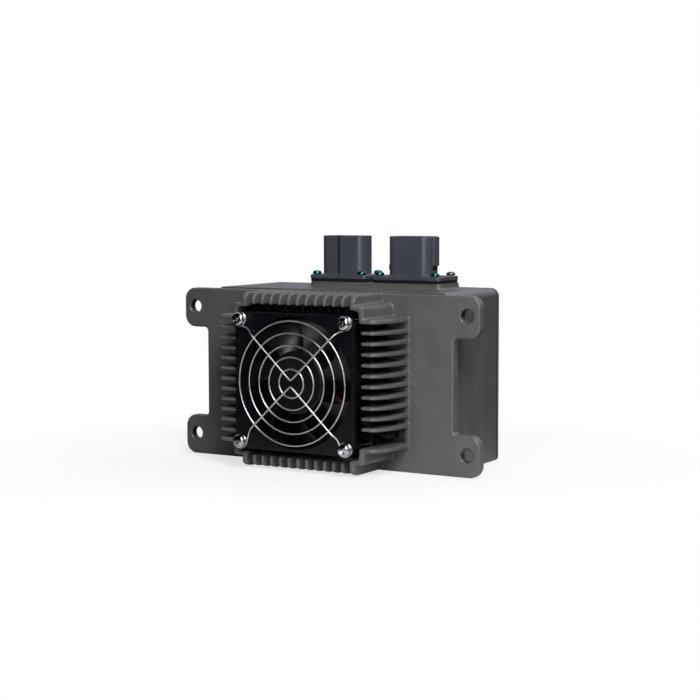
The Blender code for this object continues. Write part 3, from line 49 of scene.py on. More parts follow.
FLANGE_THICK = 0.0055
FLANGE_EDGE = 0.0013
EAR_TALL = 0.0241
EAR_REACH = 0.1020
EAR_RADIUS = 0.0070
EAR_ROOT_RADIUS = 0.0025
FLANGE_HEIGHT = 0.1029
WEB_HALF = 0.0852
MOUNT_X = 0.0938
MOUNT_HEIGHTS = (0.0128, 0.0916)
MOUNT_HOLE_RADIUS = 0.0038
MOUNT_RIM = 0.0007

CASE_HALF = 0.0805
CASE_HEIGHT = 0.1039
CASE_DEPTH = 0.0596
CASE_RADIUS = 0.0050
CASE_LOW_RADIUS = 0.0025
WALL = 0.0030

FAN_Z = 0.0521
BLOCK_HALF_X = 0.0567
BLOCK_HALF_Z = 0.0512
BLOCK_LOW_Z = 0.0516
FIN_PITCH = 0.00606
FINS_EACH_WAY = 5
FIN_ROOT = 0.0030
FIN_TIP = 0.0022
FIN_NOSE = 0.00095
FIN_DRAFT = 0.0004
FIN_VALLEY = 0.0009
FIN_FLARE = 0.0012
FIN_MITRE = 0.0020
FIN_SUNK = 0.0015
LOW_FIN_NARROWER = 0.0002
LOW_FIN_NOSE = 0.0006
SIDE_CORNER = (0.0076, 0.0230)
LEFT_CORNER = (0.0040, 0.0090)
TOP_CORNER = (0.0050, 0.0050)
BOTTOM_CORNER = (0.0028, 0.0085)
SIDE_FIN_TIP = 0.0018
SIDE_FIN_DROP = 0.0003
ROOT_PAD_PROUD = 0.0006
ROOT_PAD_WIDER = 0.0002
ROOT_PAD_CORNER = 0.0008
POCKET_HALF_X = 0.0428
POCKET_HALF_Z = 0.0441
CORNER_HALF_X = 0.0414
CORNER_HALF_Z = 0.0426
CORNER_ROUND = 0.0036
STEP_ONE = (0.0384, 0.0388)
STEP_TWO = (0.0442, 0.0462)
STEP_TOP_ROUND = (0.0014, 0.0014)
STEP_LOW_ROUND = (0.0020, 0.0036)
STEP_SWEEP = (0.0014, 0.0055)
STEP_HOLLOW = 0.0016
BLOCK_EDGE = 0.0010
BLOCK_END_EDGE = 0.0011
SHELF = (0.0448, 0.0458)
HUB_ROOM = 0.0080
MISSING_FIN = -5
FLANGE_FRONT_Y = -FLANGE_THICK
FIN_FRONT_Y = -0.0364
FIN_ROOT_Y = -0.0035
UNDER_FAN_Y = -0.0118

FAN_SIZE = 0.0800
FAN_DEPTH = 0.0250
FAN_CORNER = 0.0045
FAN_PLATE = 0.0036
FAN_BORE = 0.0382
FAN_BORE_FLARE = 0.0008
FAN_EDGE = 0.0005
DUCT_WALL = 0.0014
FAN_HOLE_SPACING = 0.0715
FAN_HOLE_RADIUS = 0.0022
FAN_FRONT_Y = -0.0398
FAN_REAR_Y = -0.0148
FAN_AXIS = Vector((0, FAN_REAR_Y, FAN_Z))
MOTOR_BASE_RADIUS = 0.0168
MOTOR_BASE_THICK = 0.0016
STRUT_WIDE = 0.0046
STRUT_TALL = 0.0034
STRUT_COUNT = 4
LEAD_STRUT_ANGLE = math.radians(-34)
LEAD_GROOVE_FLOOR = 0.0011
BEARING_RADIUS = 0.0040
BEARING_WIDE = 0.0040
BEARING_TUBE_WALL = 0.0012
BEARING_LOW = 0.0020
BEARING_TUBE_TOP = 0.0188
BEARING_SHOULDER = 0.0008
HUB_RADIUS = 0.0184
HUB_WALL = 0.0012
HUB_FRONT = 0.0230
HUB_LOW = 0.0050
HUB_DISC = 0.0014
HUB_EDGE = 0.0016
HUB_DISH = 0.0002
SHAFT_RADIUS = 0.0015
BOSS_RADIUS = 0.0032
BLADE_COUNT = 7
BLADE_TIP_ROOM = 0.0010
BLADE_LOW = 0.0046
BLADE_HIGH = 0.0224
BLADE_THICK = 0.0013
BLADE_BOW = 0.0012
BLADE_TIP_INSET = 0.0015
BLADE_WRAP_ROOT = math.radians(46)
BLADE_WRAP_TIP = math.radians(50)
BLADE_SWEEP = math.radians(14)

GUARD_RINGS = 5
GUARD_INNER = 0.0083
GUARD_RING_STEP = 0.0069
GUARD_WIRE = 0.00047
GUARD_ARM_WIRE = 0.00052
GUARD_RING_Y = -0.0421
GUARD_ARM_Y = -0.04305
GUARD_TIP = 0.0017
GUARD_BEND = 0.0022
GUARD_EYE = 0.0036
EYE_START = math.radians(58)
EYE_TURN = math.radians(272)
EYE_STEPS = 27
EYE_Y = -0.0407
WASHER_Y = -0.0416
WASHER_RADIUS = 0.0044
WASHER_THICK = 0.0008
WASHER_EDGE = 0.0002
FAN_HEAD_Y = -0.0427
FAN_SCREW_RADIUS = 0.0019
FAN_SCREW_HEAD = 0.0039
FAN_SCREW_HEAD_TALL = 0.0026
FAN_SCREW_LENGTH = 0.0379
POST_HALF = 0.0036

BOSS_LOW_X = -0.0259
BOSS_HIGH_X = 0.0642
BOSS_FRONT_Y = 0.0185
BOSS_REAR_Y = 0.0437
BOSS_TOP = 0.1077
BOSS_CORNER = 0.0030
BOSS_FILLET = 0.0022
SOCKET_Y = 0.0308
PLATE_LOW = 0.1094
PLATE_TOP = 0.1117
PLATE_DEEP = 0.0252
PLATE_CORNER = 0.0022
SHELL_TOP = 0.1351
SHELL_CORNER = 0.0050
SHELL_WALL = 0.0017
SHELL_FOOT = 0.0006
SOCKET_FLOOR = 0.1147
PLUG_INSET = 0.0012
PLUG_BOTTOM = 0.0979
PIN_RISE = 0.0150
PIN_TAIL = 0.0240
PIN_TAIL_RADIUS = 0.0010
SOCKET_SCREW_RADIUS = 0.0013
SOCKET_SCREW_HEAD = 0.0027
SOCKET_SCREW_HEAD_TALL = 0.0021
SOCKET_SCREW_LENGTH = 0.0055
SCREW_INSET = 0.0027
SOCKETS = {
    "input": {"plate_x": -0.0061, "wide": 0.0394, "x": -0.0061, "shell": (0.0297, 0.0144), "screws": 0.0313,
              "pins": (-0.0066, 0.0, 0.0066), "pin_radius": 0.0012},
    "output": {"plate_x": 0.0407, "wide": 0.0456, "x": 0.0396, "shell": (0.0277, 0.0162), "screws": 0.0372,
               "pins": (-0.0050, 0.0050), "pin_radius": 0.0022},
}
KEY_GROOVE = (-0.0021, 0.0014, 0.0010)
KEY_MOUTH = 0.0002
LATCH_RIB_FROM = -0.0020
LATCH_RIB_WIDE = 0.0065
LATCH_RIB_PROUD = 0.0012
LATCH_WINDOW = (0.0033, 0.0060)
LATCH_RIB_CORNER = 0.0005
CATCH_ROUND = 0.0006
CATCH_RAMP = 0.0044
SEAL_CLEAR = 0.00002
SEAL_WANDER = 0.0006
SEAL_BULGE = 0.0002

COVER_LOW_Y = 0.0610
COVER_TOP_Y = 0.0626
COVER_FIELD_INSET = 0.0150
COVER_FIELD_RISE = 0.0008
COVER_FIELD_CORNER = 0.0040
COVER_FIELD_HOLLOW = 0.0005
COVER_POST_RADIUS = 0.0042
COVER_SCREW_INSET = 0.0078
COVER_SCREW_RADIUS = 0.0015
COVER_SCREW_HEAD = 0.0029
COVER_SCREW_HEAD_TALL = 0.0019
COVER_SCREW_LENGTH = 0.0083
GASKET_LOW_Y = 0.0599
GASKET_HIGH_Y = 0.0607
PAD_LOW = (-0.0685, 0.0050)
PAD_HIGH = (-0.0440, 0.0350)
PAD_TOP = 0.1046
PAD_CORNER = 0.0020

LEAD_RADIUS = 0.0006
LEAD_SPREAD = 0.00078
GROMMET_PLACE = (0.0495, 0.0218)
GROMMET_BORE = 0.0018
GROMMET_NECK = 0.0032
GROMMET_LIP = 0.0042
GROMMET_LIP_THICK = 0.0012
GROMMET_LIP_ROUND = 0.0005
GROMMET_HOLE_Y = (-0.012, 0.006)

# Broken edges, how far bodies run into each other, and the least sizes of lofted rows
EDGE = 0.0004
SLIGHT_EDGE = 0.0003
OVERLAP = 0.001
LEAST_HALF = 0.00012
LEAST_STEP = 0.00008

# Shade painted in colour alone: its places, how soft it starts, and its tones; then the scale of the handling
# marks and the coat's roughness
FAR = 1.0
SHADE_EDGE = 0.0004
BORE_SHADE_TONE = (0.012, 0.012, 0.013)
GAP_TONE = (0.010, 0.010, 0.011)
WIDE_GAP_X = ((0.0330, 0.0010), (0.0555, 0.0020))
WIDE_GAP_Y = -0.0240
WIDE_GAP_DEEPENS = 0.0040
LEFT_GAPS_Y = FIN_FRONT_Y + 0.0014
LEFT_GAPS_DEEPEN = 0.0046
LEFT_GAPS_EDGE = 0.0010
LEFT_GAPS_MOST = 0.85
POCKET_SHADE_Y = FIN_FRONT_Y + 0.0030
POCKET_DEEPENS = 0.0050
POCKET_TONE = (0.008, 0.008, 0.009)
KEYWAY_TONE = (0.006, 0.007, 0.014)
LEAD_SHADE_X = 0.0262
LEAD_SHADE_TONE = (0.012, 0.012, 0.012)
MARK_SCALE = 260
COAT_ROUGHNESS = 0.2

FRONTWARD = Matrix.Rotation(math.radians(90), 4, "X")
REARWARD = Matrix.Rotation(math.radians(-90), 4, "X")
UPWARD = Matrix.Identity(4)


# Mesh helpers

def mix(low, high, part):
    return low + (high - low) * part


def arc(centre, radius, start, end, steps):
    """Points on a round from start to end, in degrees, both ends kept."""
    turns = [math.radians(mix(start, end, i / steps)) for i in range(steps + 1)]
    return [(centre[0] + radius * math.cos(t), centre[1] + radius * math.sin(t)) for t in turns]


def quarter_turns(steps):
    """Sine and cosine at even steps over a quarter turn, both ends kept."""
    turns = [math.radians(90 * k / steps) for k in range(steps + 1)]
    return [(math.sin(t), math.cos(t)) for t in turns]


def rounded_rectangle(low, high, radius, steps=8):
    (x0, z0), (x1, z1) = low, high
    points = arc((x1 - radius, z0 + radius), radius, -90, 0, steps)
    points += arc((x1 - radius, z1 - radius), radius, 0, 90, steps)
    points += arc((x0 + radius, z1 - radius), radius, 90, 180, steps)
    points += arc((x0 + radius, z0 + radius), radius, 180, 270, steps)
    return points


def rounded_polygon(corners, steps=5):
    """Outline through (x, y, radius) corners, each rounded as far as its neighbours leave room."""
    outline = []
    count = len(corners)
    for i, (x, y, radius) in enumerate(corners):
        here = Vector((x, y))
        before = Vector(corners[i - 1][:2]) - here
        after = Vector(corners[(i + 1) % count][:2]) - here
        room = 0.48 * min(before.length, after.length)
        half = before.angle(after) / 2
        reach = min(radius / math.tan(half), room)
        start, end = before.normalized() * reach, after.normalized() * reach
        middle = (start + end).normalized() * math.hypot(reach, reach * math.tan(half))
        spread = start - middle
        turn = math.atan2(spread.cross(end - middle), spread.dot(end - middle))
        for k in range(steps + 1):
            spin = Matrix.Rotation(turn * k / steps, 2)
            point = here + middle + spin @ spread
            outline.append((point.x, point.y))
    return outline


def shifted(outline, amount):
    """Outline moved out along its own normals; an anticlockwise one grows for a positive amount."""
    count = len(outline)
    points = [Vector(p) for p in outline]
    area = sum(points[i - 1].cross(points[i]) for i in range(count))
    sign = 1 if area > 0 else -1
    moved = []
    for i in range(count):
        before = points[i] - points[i - 1]
        after = points[(i + 1) % count] - points[i]
        if before.length < 1e-9:
            before = points[i] - points[i - 2]
        if after.length < 1e-9:
            after = points[(i + 2) % count] - points[i]
        before.normalize()
        after.normalize()
        normal = Vector((before.y + after.y, -before.x - after.x))
        normal = normal.normalized() / max(0.5, math.cos(before.angle(after, 0) / 2))
        p = points[i] + normal * sign * amount
        moved.append((p.x, p.y))
    return moved


def along_y(points, y):
    return [Vector((a, y, b)) for a, b in points]


def along_z(points, z):
    return [Vector((a, b, z)) for a, b in points]


def frontwards(points, s):
    """Loop across the fan's axis at s in front of its rear face."""
    return [Vector((a, FAN_REAR_Y - s, FAN_Z + b)) for a, b in points]


def bridge(bm, first, second):
    for i in range(len(first)):
        j = (i + 1) % len(first)
        bm.faces.new((first[i], first[j], second[j], second[i]))


def skin(loops, ring=False):
    """Closed body through loops of equal length: capped at both ends, or a ring that meets itself."""
    bm = bmesh.new()
    rows = [[bm.verts.new(p) for p in loop] for loop in loops]
    for a, b in zip(rows, rows[1:]):
        bridge(bm, a, b)
    if ring:
        bridge(bm, rows[-1], rows[0])
    else:
        bm.faces.new(rows[0])
        bm.faces.new(rows[-1])
    bmesh.ops.recalc_face_normals(bm, faces=bm.faces)
    return bm


def slab(outline, place, low, high, edge, steps=3, low_edge=0.0):
    """Plate between two heights with rounded rims; place turns an outline and a height into a loop."""
    loops = []
    if low_edge:
        for rise, fall in quarter_turns(steps):
            loops.append(place(shifted(outline, -low_edge * (1 - rise)), low + low_edge * (1 - fall)))
    else:
        loops.append(place(outline, low))
    for rise, fall in quarter_turns(steps):
        loops.append(place(shifted(outline, -edge * (1 - fall)), high - edge * (1 - rise)))
    return skin(loops)


def turned(profile, steps=48, matrix=UPWARD):
    """Round body from (radius, height) points: a solid from axis to axis, or a ring away from the axis."""
    bm = bmesh.new()
    rows = []
    for radius, height in profile:
        count = steps if radius > 0 else 1
        turns = [2 * math.pi * i / steps for i in range(count)]
        rows.append([bm.verts.new((radius * math.cos(t), radius * math.sin(t), height)) for t in turns])
    pairs = list(zip(rows, rows[1:]))
    if profile[0][0] > 0:
        pairs.append((rows[-1], rows[0]))
    for first, second in pairs:
        for i in range(steps):
            j = (i + 1) % steps
            corners = [first[i % len(first)], first[j % len(first)]]
            corners += [second[j % len(second)], second[i % len(second)]]
            kept = [v for k, v in enumerate(corners) if v not in corners[:k]]
            if len(kept) > 2:
                bm.faces.new(kept)
    bmesh.ops.recalc_face_normals(bm, faces=bm.faces)
    bmesh.ops.transform(bm, matrix=matrix, verts=bm.verts)
    return bm


def rounded_profile(corners, steps=3):
    """Turning profile from (radius, height, rounding) corners; its ends stay as they are."""
    points = [corners[0][:2]]
    for before, corner, after in zip(corners, corners[1:], corners[2:]):
        here = Vector(corner[:2])
        if corner[2] <= 0:
            points.append(corner[:2])
            continue
        a, b = Vector(before[:2]) - here, Vector(after[:2]) - here
        reach = min(corner[2], 0.48 * a.length, 0.48 * b.length)
        start, end = here + a.normalized() * reach, here + b.normalized() * reach
        for k in range(steps + 1):
            t = k / steps
            p = start * (1 - t) ** 2 + here * 2 * t * (1 - t) + end * t ** 2
            points.append((max(p.x, 0.0), p.y))
    points.append(corners[-1][:2])
    return points


def tube(path, radius, sides=12, closed=False):
    """Round wire along a path, with a frame carried from point to point and rounded ends."""
    bm = bmesh.new()
    count = len(path)
    rows = []
    normal = None
    stations = [(i, point, 1.0, 0.0) for i, point in enumerate(path)]
    if not closed:
        caps = ((0.35, -0.9), (0.75, -0.6))
        stations = [(0, path[0], part, back) for part, back in caps] + stations
        stations += [(count - 1, path[-1], part, -back) for part, back in reversed(caps)]
    for i, point, part, ahead in stations:
        before = path[i - 1] if closed or i else point
        after = path[(i + 1) % count] if closed or i + 1 < count else point
        tangent = (after - before).normalized()
        if normal is None:
            normal = tangent.orthogonal().normalized()
        normal = (normal - tangent * normal.dot(tangent)).normalized()
        side = tangent.cross(normal)
        centre = point + tangent * ahead * radius
        turns = [2 * math.pi * (k + 0.5) / sides for k in range(sides)]
        rows.append([bm.verts.new(centre + radius * part * (normal * math.cos(t) + side * math.sin(t)))
                     for t in turns])
    for a, b in zip(rows, rows[1:]):
        bridge(bm, a, b)
    if closed:
        bridge(bm, rows[-1], rows[0])
    else:
        bm.faces.new(rows[0])
        bm.faces.new(rows[-1])
    bmesh.ops.recalc_face_normals(bm, faces=bm.faces)
    return bm


def soft_path(corners, radius, steps=8):
    """Path through corner points with each inner corner rounded off."""
    path = [corners[0]]
    for before, corner, after in zip(corners, corners[1:], corners[2:]):
        reach = min(radius, 0.48 * (before - corner).length, 0.48 * (after - corner).length)
        start = corner + (before - corner).normalized() * reach
        end = corner + (after - corner).normalized() * reach
        for i in range(steps + 1):
            t = i / steps
            path.append(start * (1 - t) ** 2 + corner * 2 * t * (1 - t) + end * t ** 2)
    path.append(corners[-1])
    return path


def gather(parts):
    """One mesh of several separate bodies."""
    whole = bmesh.new()
    for bm in parts:
        mesh = bpy.data.meshes.new("part")
        bm.to_mesh(mesh)
        bm.free()
        whole.from_mesh(mesh)
        bpy.data.meshes.remove(mesh)
    return whole


def box(low, high):
    (x0, y0, z0), (x1, y1, z1) = low, high
    outline = [(x0, z0), (x1, z0), (x1, z1), (x0, z1)]
    return skin([along_y(outline, y0), along_y(outline, y1)])


def round_bar(start, end, radius, steps=32):
    """Plain round bar between two points."""
    start, end = Vector(start), Vector(end)
    length = (end - start).length
    bm = turned([(0, 0), (radius, 0), (radius, length), (0, length)], steps)
    turn = (end - start).to_track_quat("Z", "Y").to_matrix().to_4x4()
    bmesh.ops.transform(bm, matrix=Matrix.Translation(start) @ turn, verts=bm.verts)
    return bm


def solid(name, bm):
    """Object from a mesh in the making, freed here."""
    mesh = bpy.data.meshes.new(name)
    bm.to_mesh(mesh)
    bm.free()
    ob = bpy.data.objects.new(name, mesh)
    bpy.context.scene.collection.objects.link(ob)
    return ob


def combine(ob, bm, operation):
    """Joins a body to the object, or cuts it away, and keeps the result as its mesh."""
    tool = solid("tool", bm)
    modifier = ob.modifiers.new("combine", "BOOLEAN")
    modifier.operation = operation
    modifier.solver = "EXACT"
    modifier.object = tool
    graph = bpy.context.evaluated_depsgraph_get()
    mesh = bpy.data.meshes.new_from_object(ob.evaluated_get(graph))
    ob.modifiers.clear()
    old = ob.data
    ob.data = mesh
    bpy.data.meshes.remove(old)
    bpy.data.objects.remove(tool, do_unlink=True)


def join(ob, bm):
    combine(ob, bm, "UNION")


def cut(ob, bm):
    combine(ob, bm, "DIFFERENCE")


def add(ob, bm):
    """Adds bodies to the object's mesh as they are."""
    whole = bmesh.new()
    whole.from_mesh(ob.data)
    mesh = bpy.data.meshes.new("more")
    bm.to_mesh(mesh)
    bm.free()
    whole.from_mesh(mesh)
    bpy.data.meshes.remove(mesh)
    whole.to_mesh(ob.data)
    whole.free()


def piece(ob, look, node, body="charger", angle=32):
    """Shades the piece, gives it its material and puts it in its CAD node's place."""
    ob.data.materials.clear()
    ob.data.materials.append(look)
    ob.data.shade_smooth()
    ob.data.set_sharp_from_angle(angle=math.radians(angle))
    even = ob.modifiers.new("even shading", "WEIGHTED_NORMAL")
    even.keep_sharp = True
    even.weight = 60
    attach(ob, body)
    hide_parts(node)
    return ob


# Materials

def link(tree, start, end):
    tree.links.new(start, end)


def set_or_link(tree, socket, value):
    """Gives a node's input a plain value, or joins it to another node's output."""
    if isinstance(value, bpy.types.NodeSocket):
        link(tree, value, socket)
    else:
        socket.default_value = value


def math_node(tree, operation, *values):
    node = tree.nodes.new("ShaderNodeMath")
    node.operation = operation
    for socket, value in zip(node.inputs, values):
        set_or_link(tree, socket, value)
    return node.outputs["Value"]


def vector_node(tree, operation, *values):
    node = tree.nodes.new("ShaderNodeVectorMath")
    node.operation = operation
    for socket, value in zip(node.inputs, values):
        set_or_link(tree, socket, value)
    return node.outputs["Value" if operation in ("LENGTH", "DISTANCE") else "Vector"]


def noise_node(tree, place, scale, detail, rough=0.55):
    node = tree.nodes.new("ShaderNodeTexNoise")
    set_or_link(tree, node.inputs["Scale"], scale)
    node.inputs["Detail"].default_value = detail
    node.inputs["Roughness"].default_value = rough
    link(tree, place, node.inputs["Vector"])
    return node.outputs["Fac"]


def range_node(tree, value, low, high, new_low, new_high):
    """Maps values between low and high onto new_low to new_high, which hold beyond them."""
    node = tree.nodes.new("ShaderNodeMapRange")
    node.inputs["From Min"].default_value = low
    node.inputs["From Max"].default_value = high
    node.inputs["To Min"].default_value = new_low
    node.inputs["To Max"].default_value = new_high
    link(tree, value, node.inputs["Value"])
    return node.outputs["Result"]


def colour_mix(tree, part, first, second):
    node = tree.nodes.new("ShaderNodeMix")
    node.data_type = "RGBA"
    for name, value in (("Factor", part), ("A", first), ("B", second)):
        set_or_link(tree, node.inputs[name], value)
    return node.outputs["Result"]


def object_place(tree):
    return tree.nodes.new("ShaderNodeTexCoord").outputs["Object"]


def split_axes(tree, vector):
    node = tree.nodes.new("ShaderNodeSeparateXYZ")
    link(tree, vector, node.inputs["Vector"])
    return node.outputs


def new_group(name, inputs, outputs):
    """Node group with (name, kind) inputs and number outputs, given with its input and output nodes."""
    group = bpy.data.node_groups.new(name, "ShaderNodeTree")
    for socket, kind in inputs:
        group.interface.new_socket(name=socket, in_out="INPUT", socket_type=kind)
    for socket in outputs:
        group.interface.new_socket(name=socket, in_out="OUTPUT", socket_type="NodeSocketFloat")
    return group, group.nodes.new("NodeGroupInput"), group.nodes.new("NodeGroupOutput")


def group_node(tree, group, values):
    node = tree.nodes.new("ShaderNodeGroup")
    node.node_tree = group
    for name, value in values.items():
        node.inputs[name].default_value = value
    return node


def surface_group():
    """Soft tone changes, fine grain and faint handling marks for any surface of the charger."""
    scales = (("Tone Scale", "NodeSocketFloat"), ("Grain Scale", "NodeSocketFloat"))
    group, start, end = new_group("surface variation", scales, ("Tone", "Grain", "Marks"))
    place = object_place(group)
    tone = noise_node(group, place, start.outputs["Tone Scale"], 4)
    grain = noise_node(group, place, start.outputs["Grain Scale"], 3, 0.6)
    marks = noise_node(group, place, MARK_SCALE, 6, 0.7)
    link(group, range_node(group, tone, 0.3, 0.7, 0.0, 1.0), end.inputs["Tone"])
    link(group, grain, end.inputs["Grain"])
    link(group, range_node(group, marks, 0.5, 0.72, 0.0, 1.0), end.inputs["Marks"])
    return group


def drawn_lines_group():
    """Fine drawn lines round or along a metal piece."""
    group, start, end = new_group("drawn lines", (("Stretch", "NodeSocketVector"),), ("Lines",))
    stretched = vector_node(group, "MULTIPLY", object_place(group), start.outputs["Stretch"])
    link(group, noise_node(group, stretched, 1.0, 3), end.inputs["Lines"])
    return group


def inside_box_group():
    """Mask of what lies in a box, rising over a soft edge inside its low and its high faces."""
    corners = [(name, "NodeSocketVector") for name in ("Low", "High", "Low Edge", "High Edge")]
    group, start, end = new_group("inside a box", corners, ("Mask",))
    place = object_place(group)
    low, high, low_edge, high_edge = [start.outputs[name] for name, kind in corners]
    steps = []
    for ahead, behind, edge in ((place, low, low_edge), (high, place, high_edge)):
        depth = vector_node(group, "SUBTRACT", ahead, behind)
        share = split_axes(group, vector_node(group, "DIVIDE", depth, edge))
        steps += [range_node(group, share[axis], 0.0, 1.0, 0.0, 1.0) for axis in "XYZ"]
    mask = steps[0]
    for step in steps[1:]:
        mask = math_node(group, "MULTIPLY", mask, step)
    link(group, mask, end.inputs["Mask"])
    return group


SURFACE = surface_group()
DRAWN_LINES = drawn_lines_group()
INSIDE_BOX = inside_box_group()


def material(name, light, dark, rough, tone, grain, depth, strength, marks, metallic=0.0, coat=0.0,
             specular=0.5, lines=None):
    """Principled material whose colour, roughness and fine relief follow the shared surface patterns."""
    made = bpy.data.materials.new(name)
    made.use_nodes = True
    tree = made.node_tree
    shader = tree.nodes["Principled BSDF"]
    surface = group_node(tree, SURFACE, {"Tone Scale": tone, "Grain Scale": grain}).outputs
    part = math_node(tree, "MULTIPLY", surface["Grain"], 0.5)
    part = math_node(tree, "MULTIPLY_ADD", surface["Tone"], 0.75, part)
    link(tree, colour_mix(tree, part, (*dark, 1.0), (*light, 1.0)), shader.inputs["Base Color"])
    worn = math_node(tree, "MULTIPLY", surface["Marks"], marks)
    spread = range_node(tree, surface["Tone"], 0.0, 1.0, *rough)
    link(tree, math_node(tree, "ADD", spread, worn), shader.inputs["Roughness"])
    height = surface["Grain"]
    if lines:
        height = group_node(tree, DRAWN_LINES, {"Stretch": lines}).outputs["Lines"]
    bump = tree.nodes.new("ShaderNodeBump")
    bump.inputs["Strength"].default_value = strength
    bump.inputs["Distance"].default_value = depth
    link(tree, height, bump.inputs["Height"])
    link(tree, bump.outputs["Normal"], shader.inputs["Normal"])
    shader.inputs["Metallic"].default_value = metallic
    shader.inputs["Coat Weight"].default_value = coat
    shader.inputs["Coat Roughness"].default_value = COAT_ROUGHNESS
    shader.inputs["Specular IOR Level"].default_value = specular
    return made


def darken(made, mask, tone):
    """Paints shade: turns the material's colour to a darker tone where the mask is up."""
    tree = made.node_tree
    colour = tree.nodes["Principled BSDF"].inputs["Base Color"]
    link(tree, colour_mix(tree, mask, colour.links[0].from_socket, (*tone, 1.0)), colour)


def darken_box(made, low, high, edge, tone, high_edge=None, most=1.0):
    """Paints shade on what lies in a box with soft faces; most is how much of the tone is reached."""
    tree = made.node_tree
    values = {"Low": low, "High": high, "Low Edge": edge, "High Edge": high_edge or edge}
    mask = group_node(tree, INSIDE_BOX, values).outputs["Mask"]
    darken(made, math_node(tree, "MULTIPLY", mask, most), tone)


def shade_ear_bores(made):
    """Paints shade into the bores of the ear holes."""
    tree = made.node_tree
    axes = split_axes(tree, object_place(tree))
    middle = sum(MOUNT_HEIGHTS) / 2
    across = math_node(tree, "SUBTRACT", math_node(tree, "ABSOLUTE", axes["X"]), MOUNT_X)
    lift = math_node(tree, "ABSOLUTE", math_node(tree, "SUBTRACT", axes["Z"], middle))
    up = math_node(tree, "SUBTRACT", lift, MOUNT_HEIGHTS[1] - middle)
    offset = tree.nodes.new("ShaderNodeCombineXYZ")
    link(tree, across, offset.inputs["X"])
    link(tree, up, offset.inputs["Y"])
    away = vector_node(tree, "LENGTH", offset.outputs["Vector"])
    edge = MOUNT_HOLE_RADIUS + PRESSED
    darken(made, range_node(tree, away, edge, edge + SHADE_EDGE, 1.0, 0.0), BORE_SHADE_TONE)


def darken_wide_gap(made):
    """Keeps the floor of the wide gap, where one fin is left out, in deep shade."""
    low = FAN_Z + (MISSING_FIN - 1) * FIN_PITCH + FIN_ROOT / 2
    high = FAN_Z + (MISSING_FIN + 1) * FIN_PITCH - FIN_ROOT / 2 - 2 * PRESSED
    (left, left_edge), (right, right_edge) = WIDE_GAP_X
    darken_box(made, (left, WIDE_GAP_Y, low), (right, FAR, high), (left_edge, WIDE_GAP_DEEPENS, SHADE_EDGE),
               GAP_TONE, high_edge=(right_edge, WIDE_GAP_DEEPENS, SHADE_EDGE))


def darken_left_gaps(made):
    """Keeps the gaps between the left fins, which face away from the main light, in shade."""
    half = (FINS_EACH_WAY + 1) * FIN_PITCH + LEFT_GAPS_EDGE
    low = (-BLOCK_HALF_X - SHADE_EDGE, LEFT_GAPS_Y, FAN_Z - half)
    high = (-POCKET_HALF_X + SHADE_EDGE, FAR, FAN_Z + half)
    darken_box(made, low, high, (SHADE_EDGE, LEFT_GAPS_DEEPEN, LEFT_GAPS_EDGE), GAP_TONE, most=LEFT_GAPS_MOST)


def darken_pocket(made):
    """Keeps the pocket behind the fan in deep shade."""
    half_x, half_z = POCKET_HALF_X + GAP, POCKET_HALF_Z + GAP
    low = (-half_x, POCKET_SHADE_Y, FAN_Z - half_z)
    high = (half_x, FAR, FAN_Z + half_z)
    darken_box(made, low, high, (2 * PRESSED, POCKET_DEEPENS, 2 * PRESSED), POCKET_TONE)


def darken_keyway(made):
    """Keeps the faces inside the keyway in deep shade, as a narrow slot looks."""
    socket = SOCKETS["input"]
    offset, wide, deep = KEY_GROOVE
    middle, front = socket["x"] + offset, SOCKET_Y - socket["shell"][1] / 2
    half = wide / 2 + GAP
    low = (middle - half, front + PRESSED / 2, PLATE_TOP + PRESSED)
    high = (middle + half, front + deep + GAP, FAR)
    darken_box(made, low, high, (GAP, 2 * PRESSED, GAP), KEYWAY_TONE)


def shade_lead_outer_run(made):
    """Paints shade on the red lead, turning it black on its outer run."""
    darken_box(made, (LEAD_SHADE_X, -FAR, -FAR), (FAR, FAR, FAR), (SHADE_EDGE,) * 3, LEAD_SHADE_TONE)


CASTING = material(
    "coated casting", light=(0.123, 0.121, 0.114), dark=(0.096, 0.096, 0.092), rough=(0.40, 0.50),
    metallic=0.25, tone=90, grain=2600, depth=0.00006, strength=0.45, marks=0.10)
# Painted shade: in the bores of the ear holes, on the floor of the wide gap, in the gaps between the left
# fins and in the pocket behind the fan
shade_ear_bores(CASTING)
darken_wide_gap(CASTING)
darken_left_gaps(CASTING)
darken_pocket(CASTING)
# The case walls carry the same paint as the casting; their slightly darker, bluer colour is painted shade
SHADED_CASE_COAT = material(
    "coated case walls", light=(0.116, 0.112, 0.112), dark=(0.090, 0.088, 0.090), rough=(0.36, 0.44),
    metallic=0.25, tone=90, grain=2600, depth=0.00006, strength=0.45, marks=0.10, specular=0.7)
COVER_COAT = material(
    "coated cover plate", light=(0.122, 0.121, 0.116), dark=(0.098, 0.098, 0.096), rough=(0.42, 0.50),
    metallic=0.25, tone=70, grain=2400, depth=0.00004, strength=0.35, marks=0.10)
FAN_BLACK = material(
    "fan frame moulding", light=(0.005, 0.005, 0.007), dark=(0.003, 0.003, 0.005), rough=(0.20, 0.28),
    tone=80, grain=3200, depth=0.00002, strength=0.12, marks=0.08, specular=0.18)
BLADE_BLACK = material(
    "fan blade moulding", light=(0.006, 0.006, 0.007), dark=(0.003, 0.003, 0.004), rough=(0.26, 0.34),
    tone=70, grain=3000, depth=0.00002, strength=0.10, marks=0.08, specular=0.22)
WIRE_CHROME = material(
    "plated guard wire", light=(0.74, 0.74, 0.76), dark=(0.62, 0.62, 0.64), rough=(0.26, 0.34),
    metallic=1.0, tone=200, grain=3000, depth=0.00002, strength=0.20, marks=0.15)
SCREW_CHROME = material(
    "plated screw", light=(0.56, 0.56, 0.58), dark=(0.40, 0.40, 0.42), rough=(0.08, 0.15), metallic=1.0,
    tone=300, grain=4000, depth=0.00002, strength=0.12, marks=0.10)
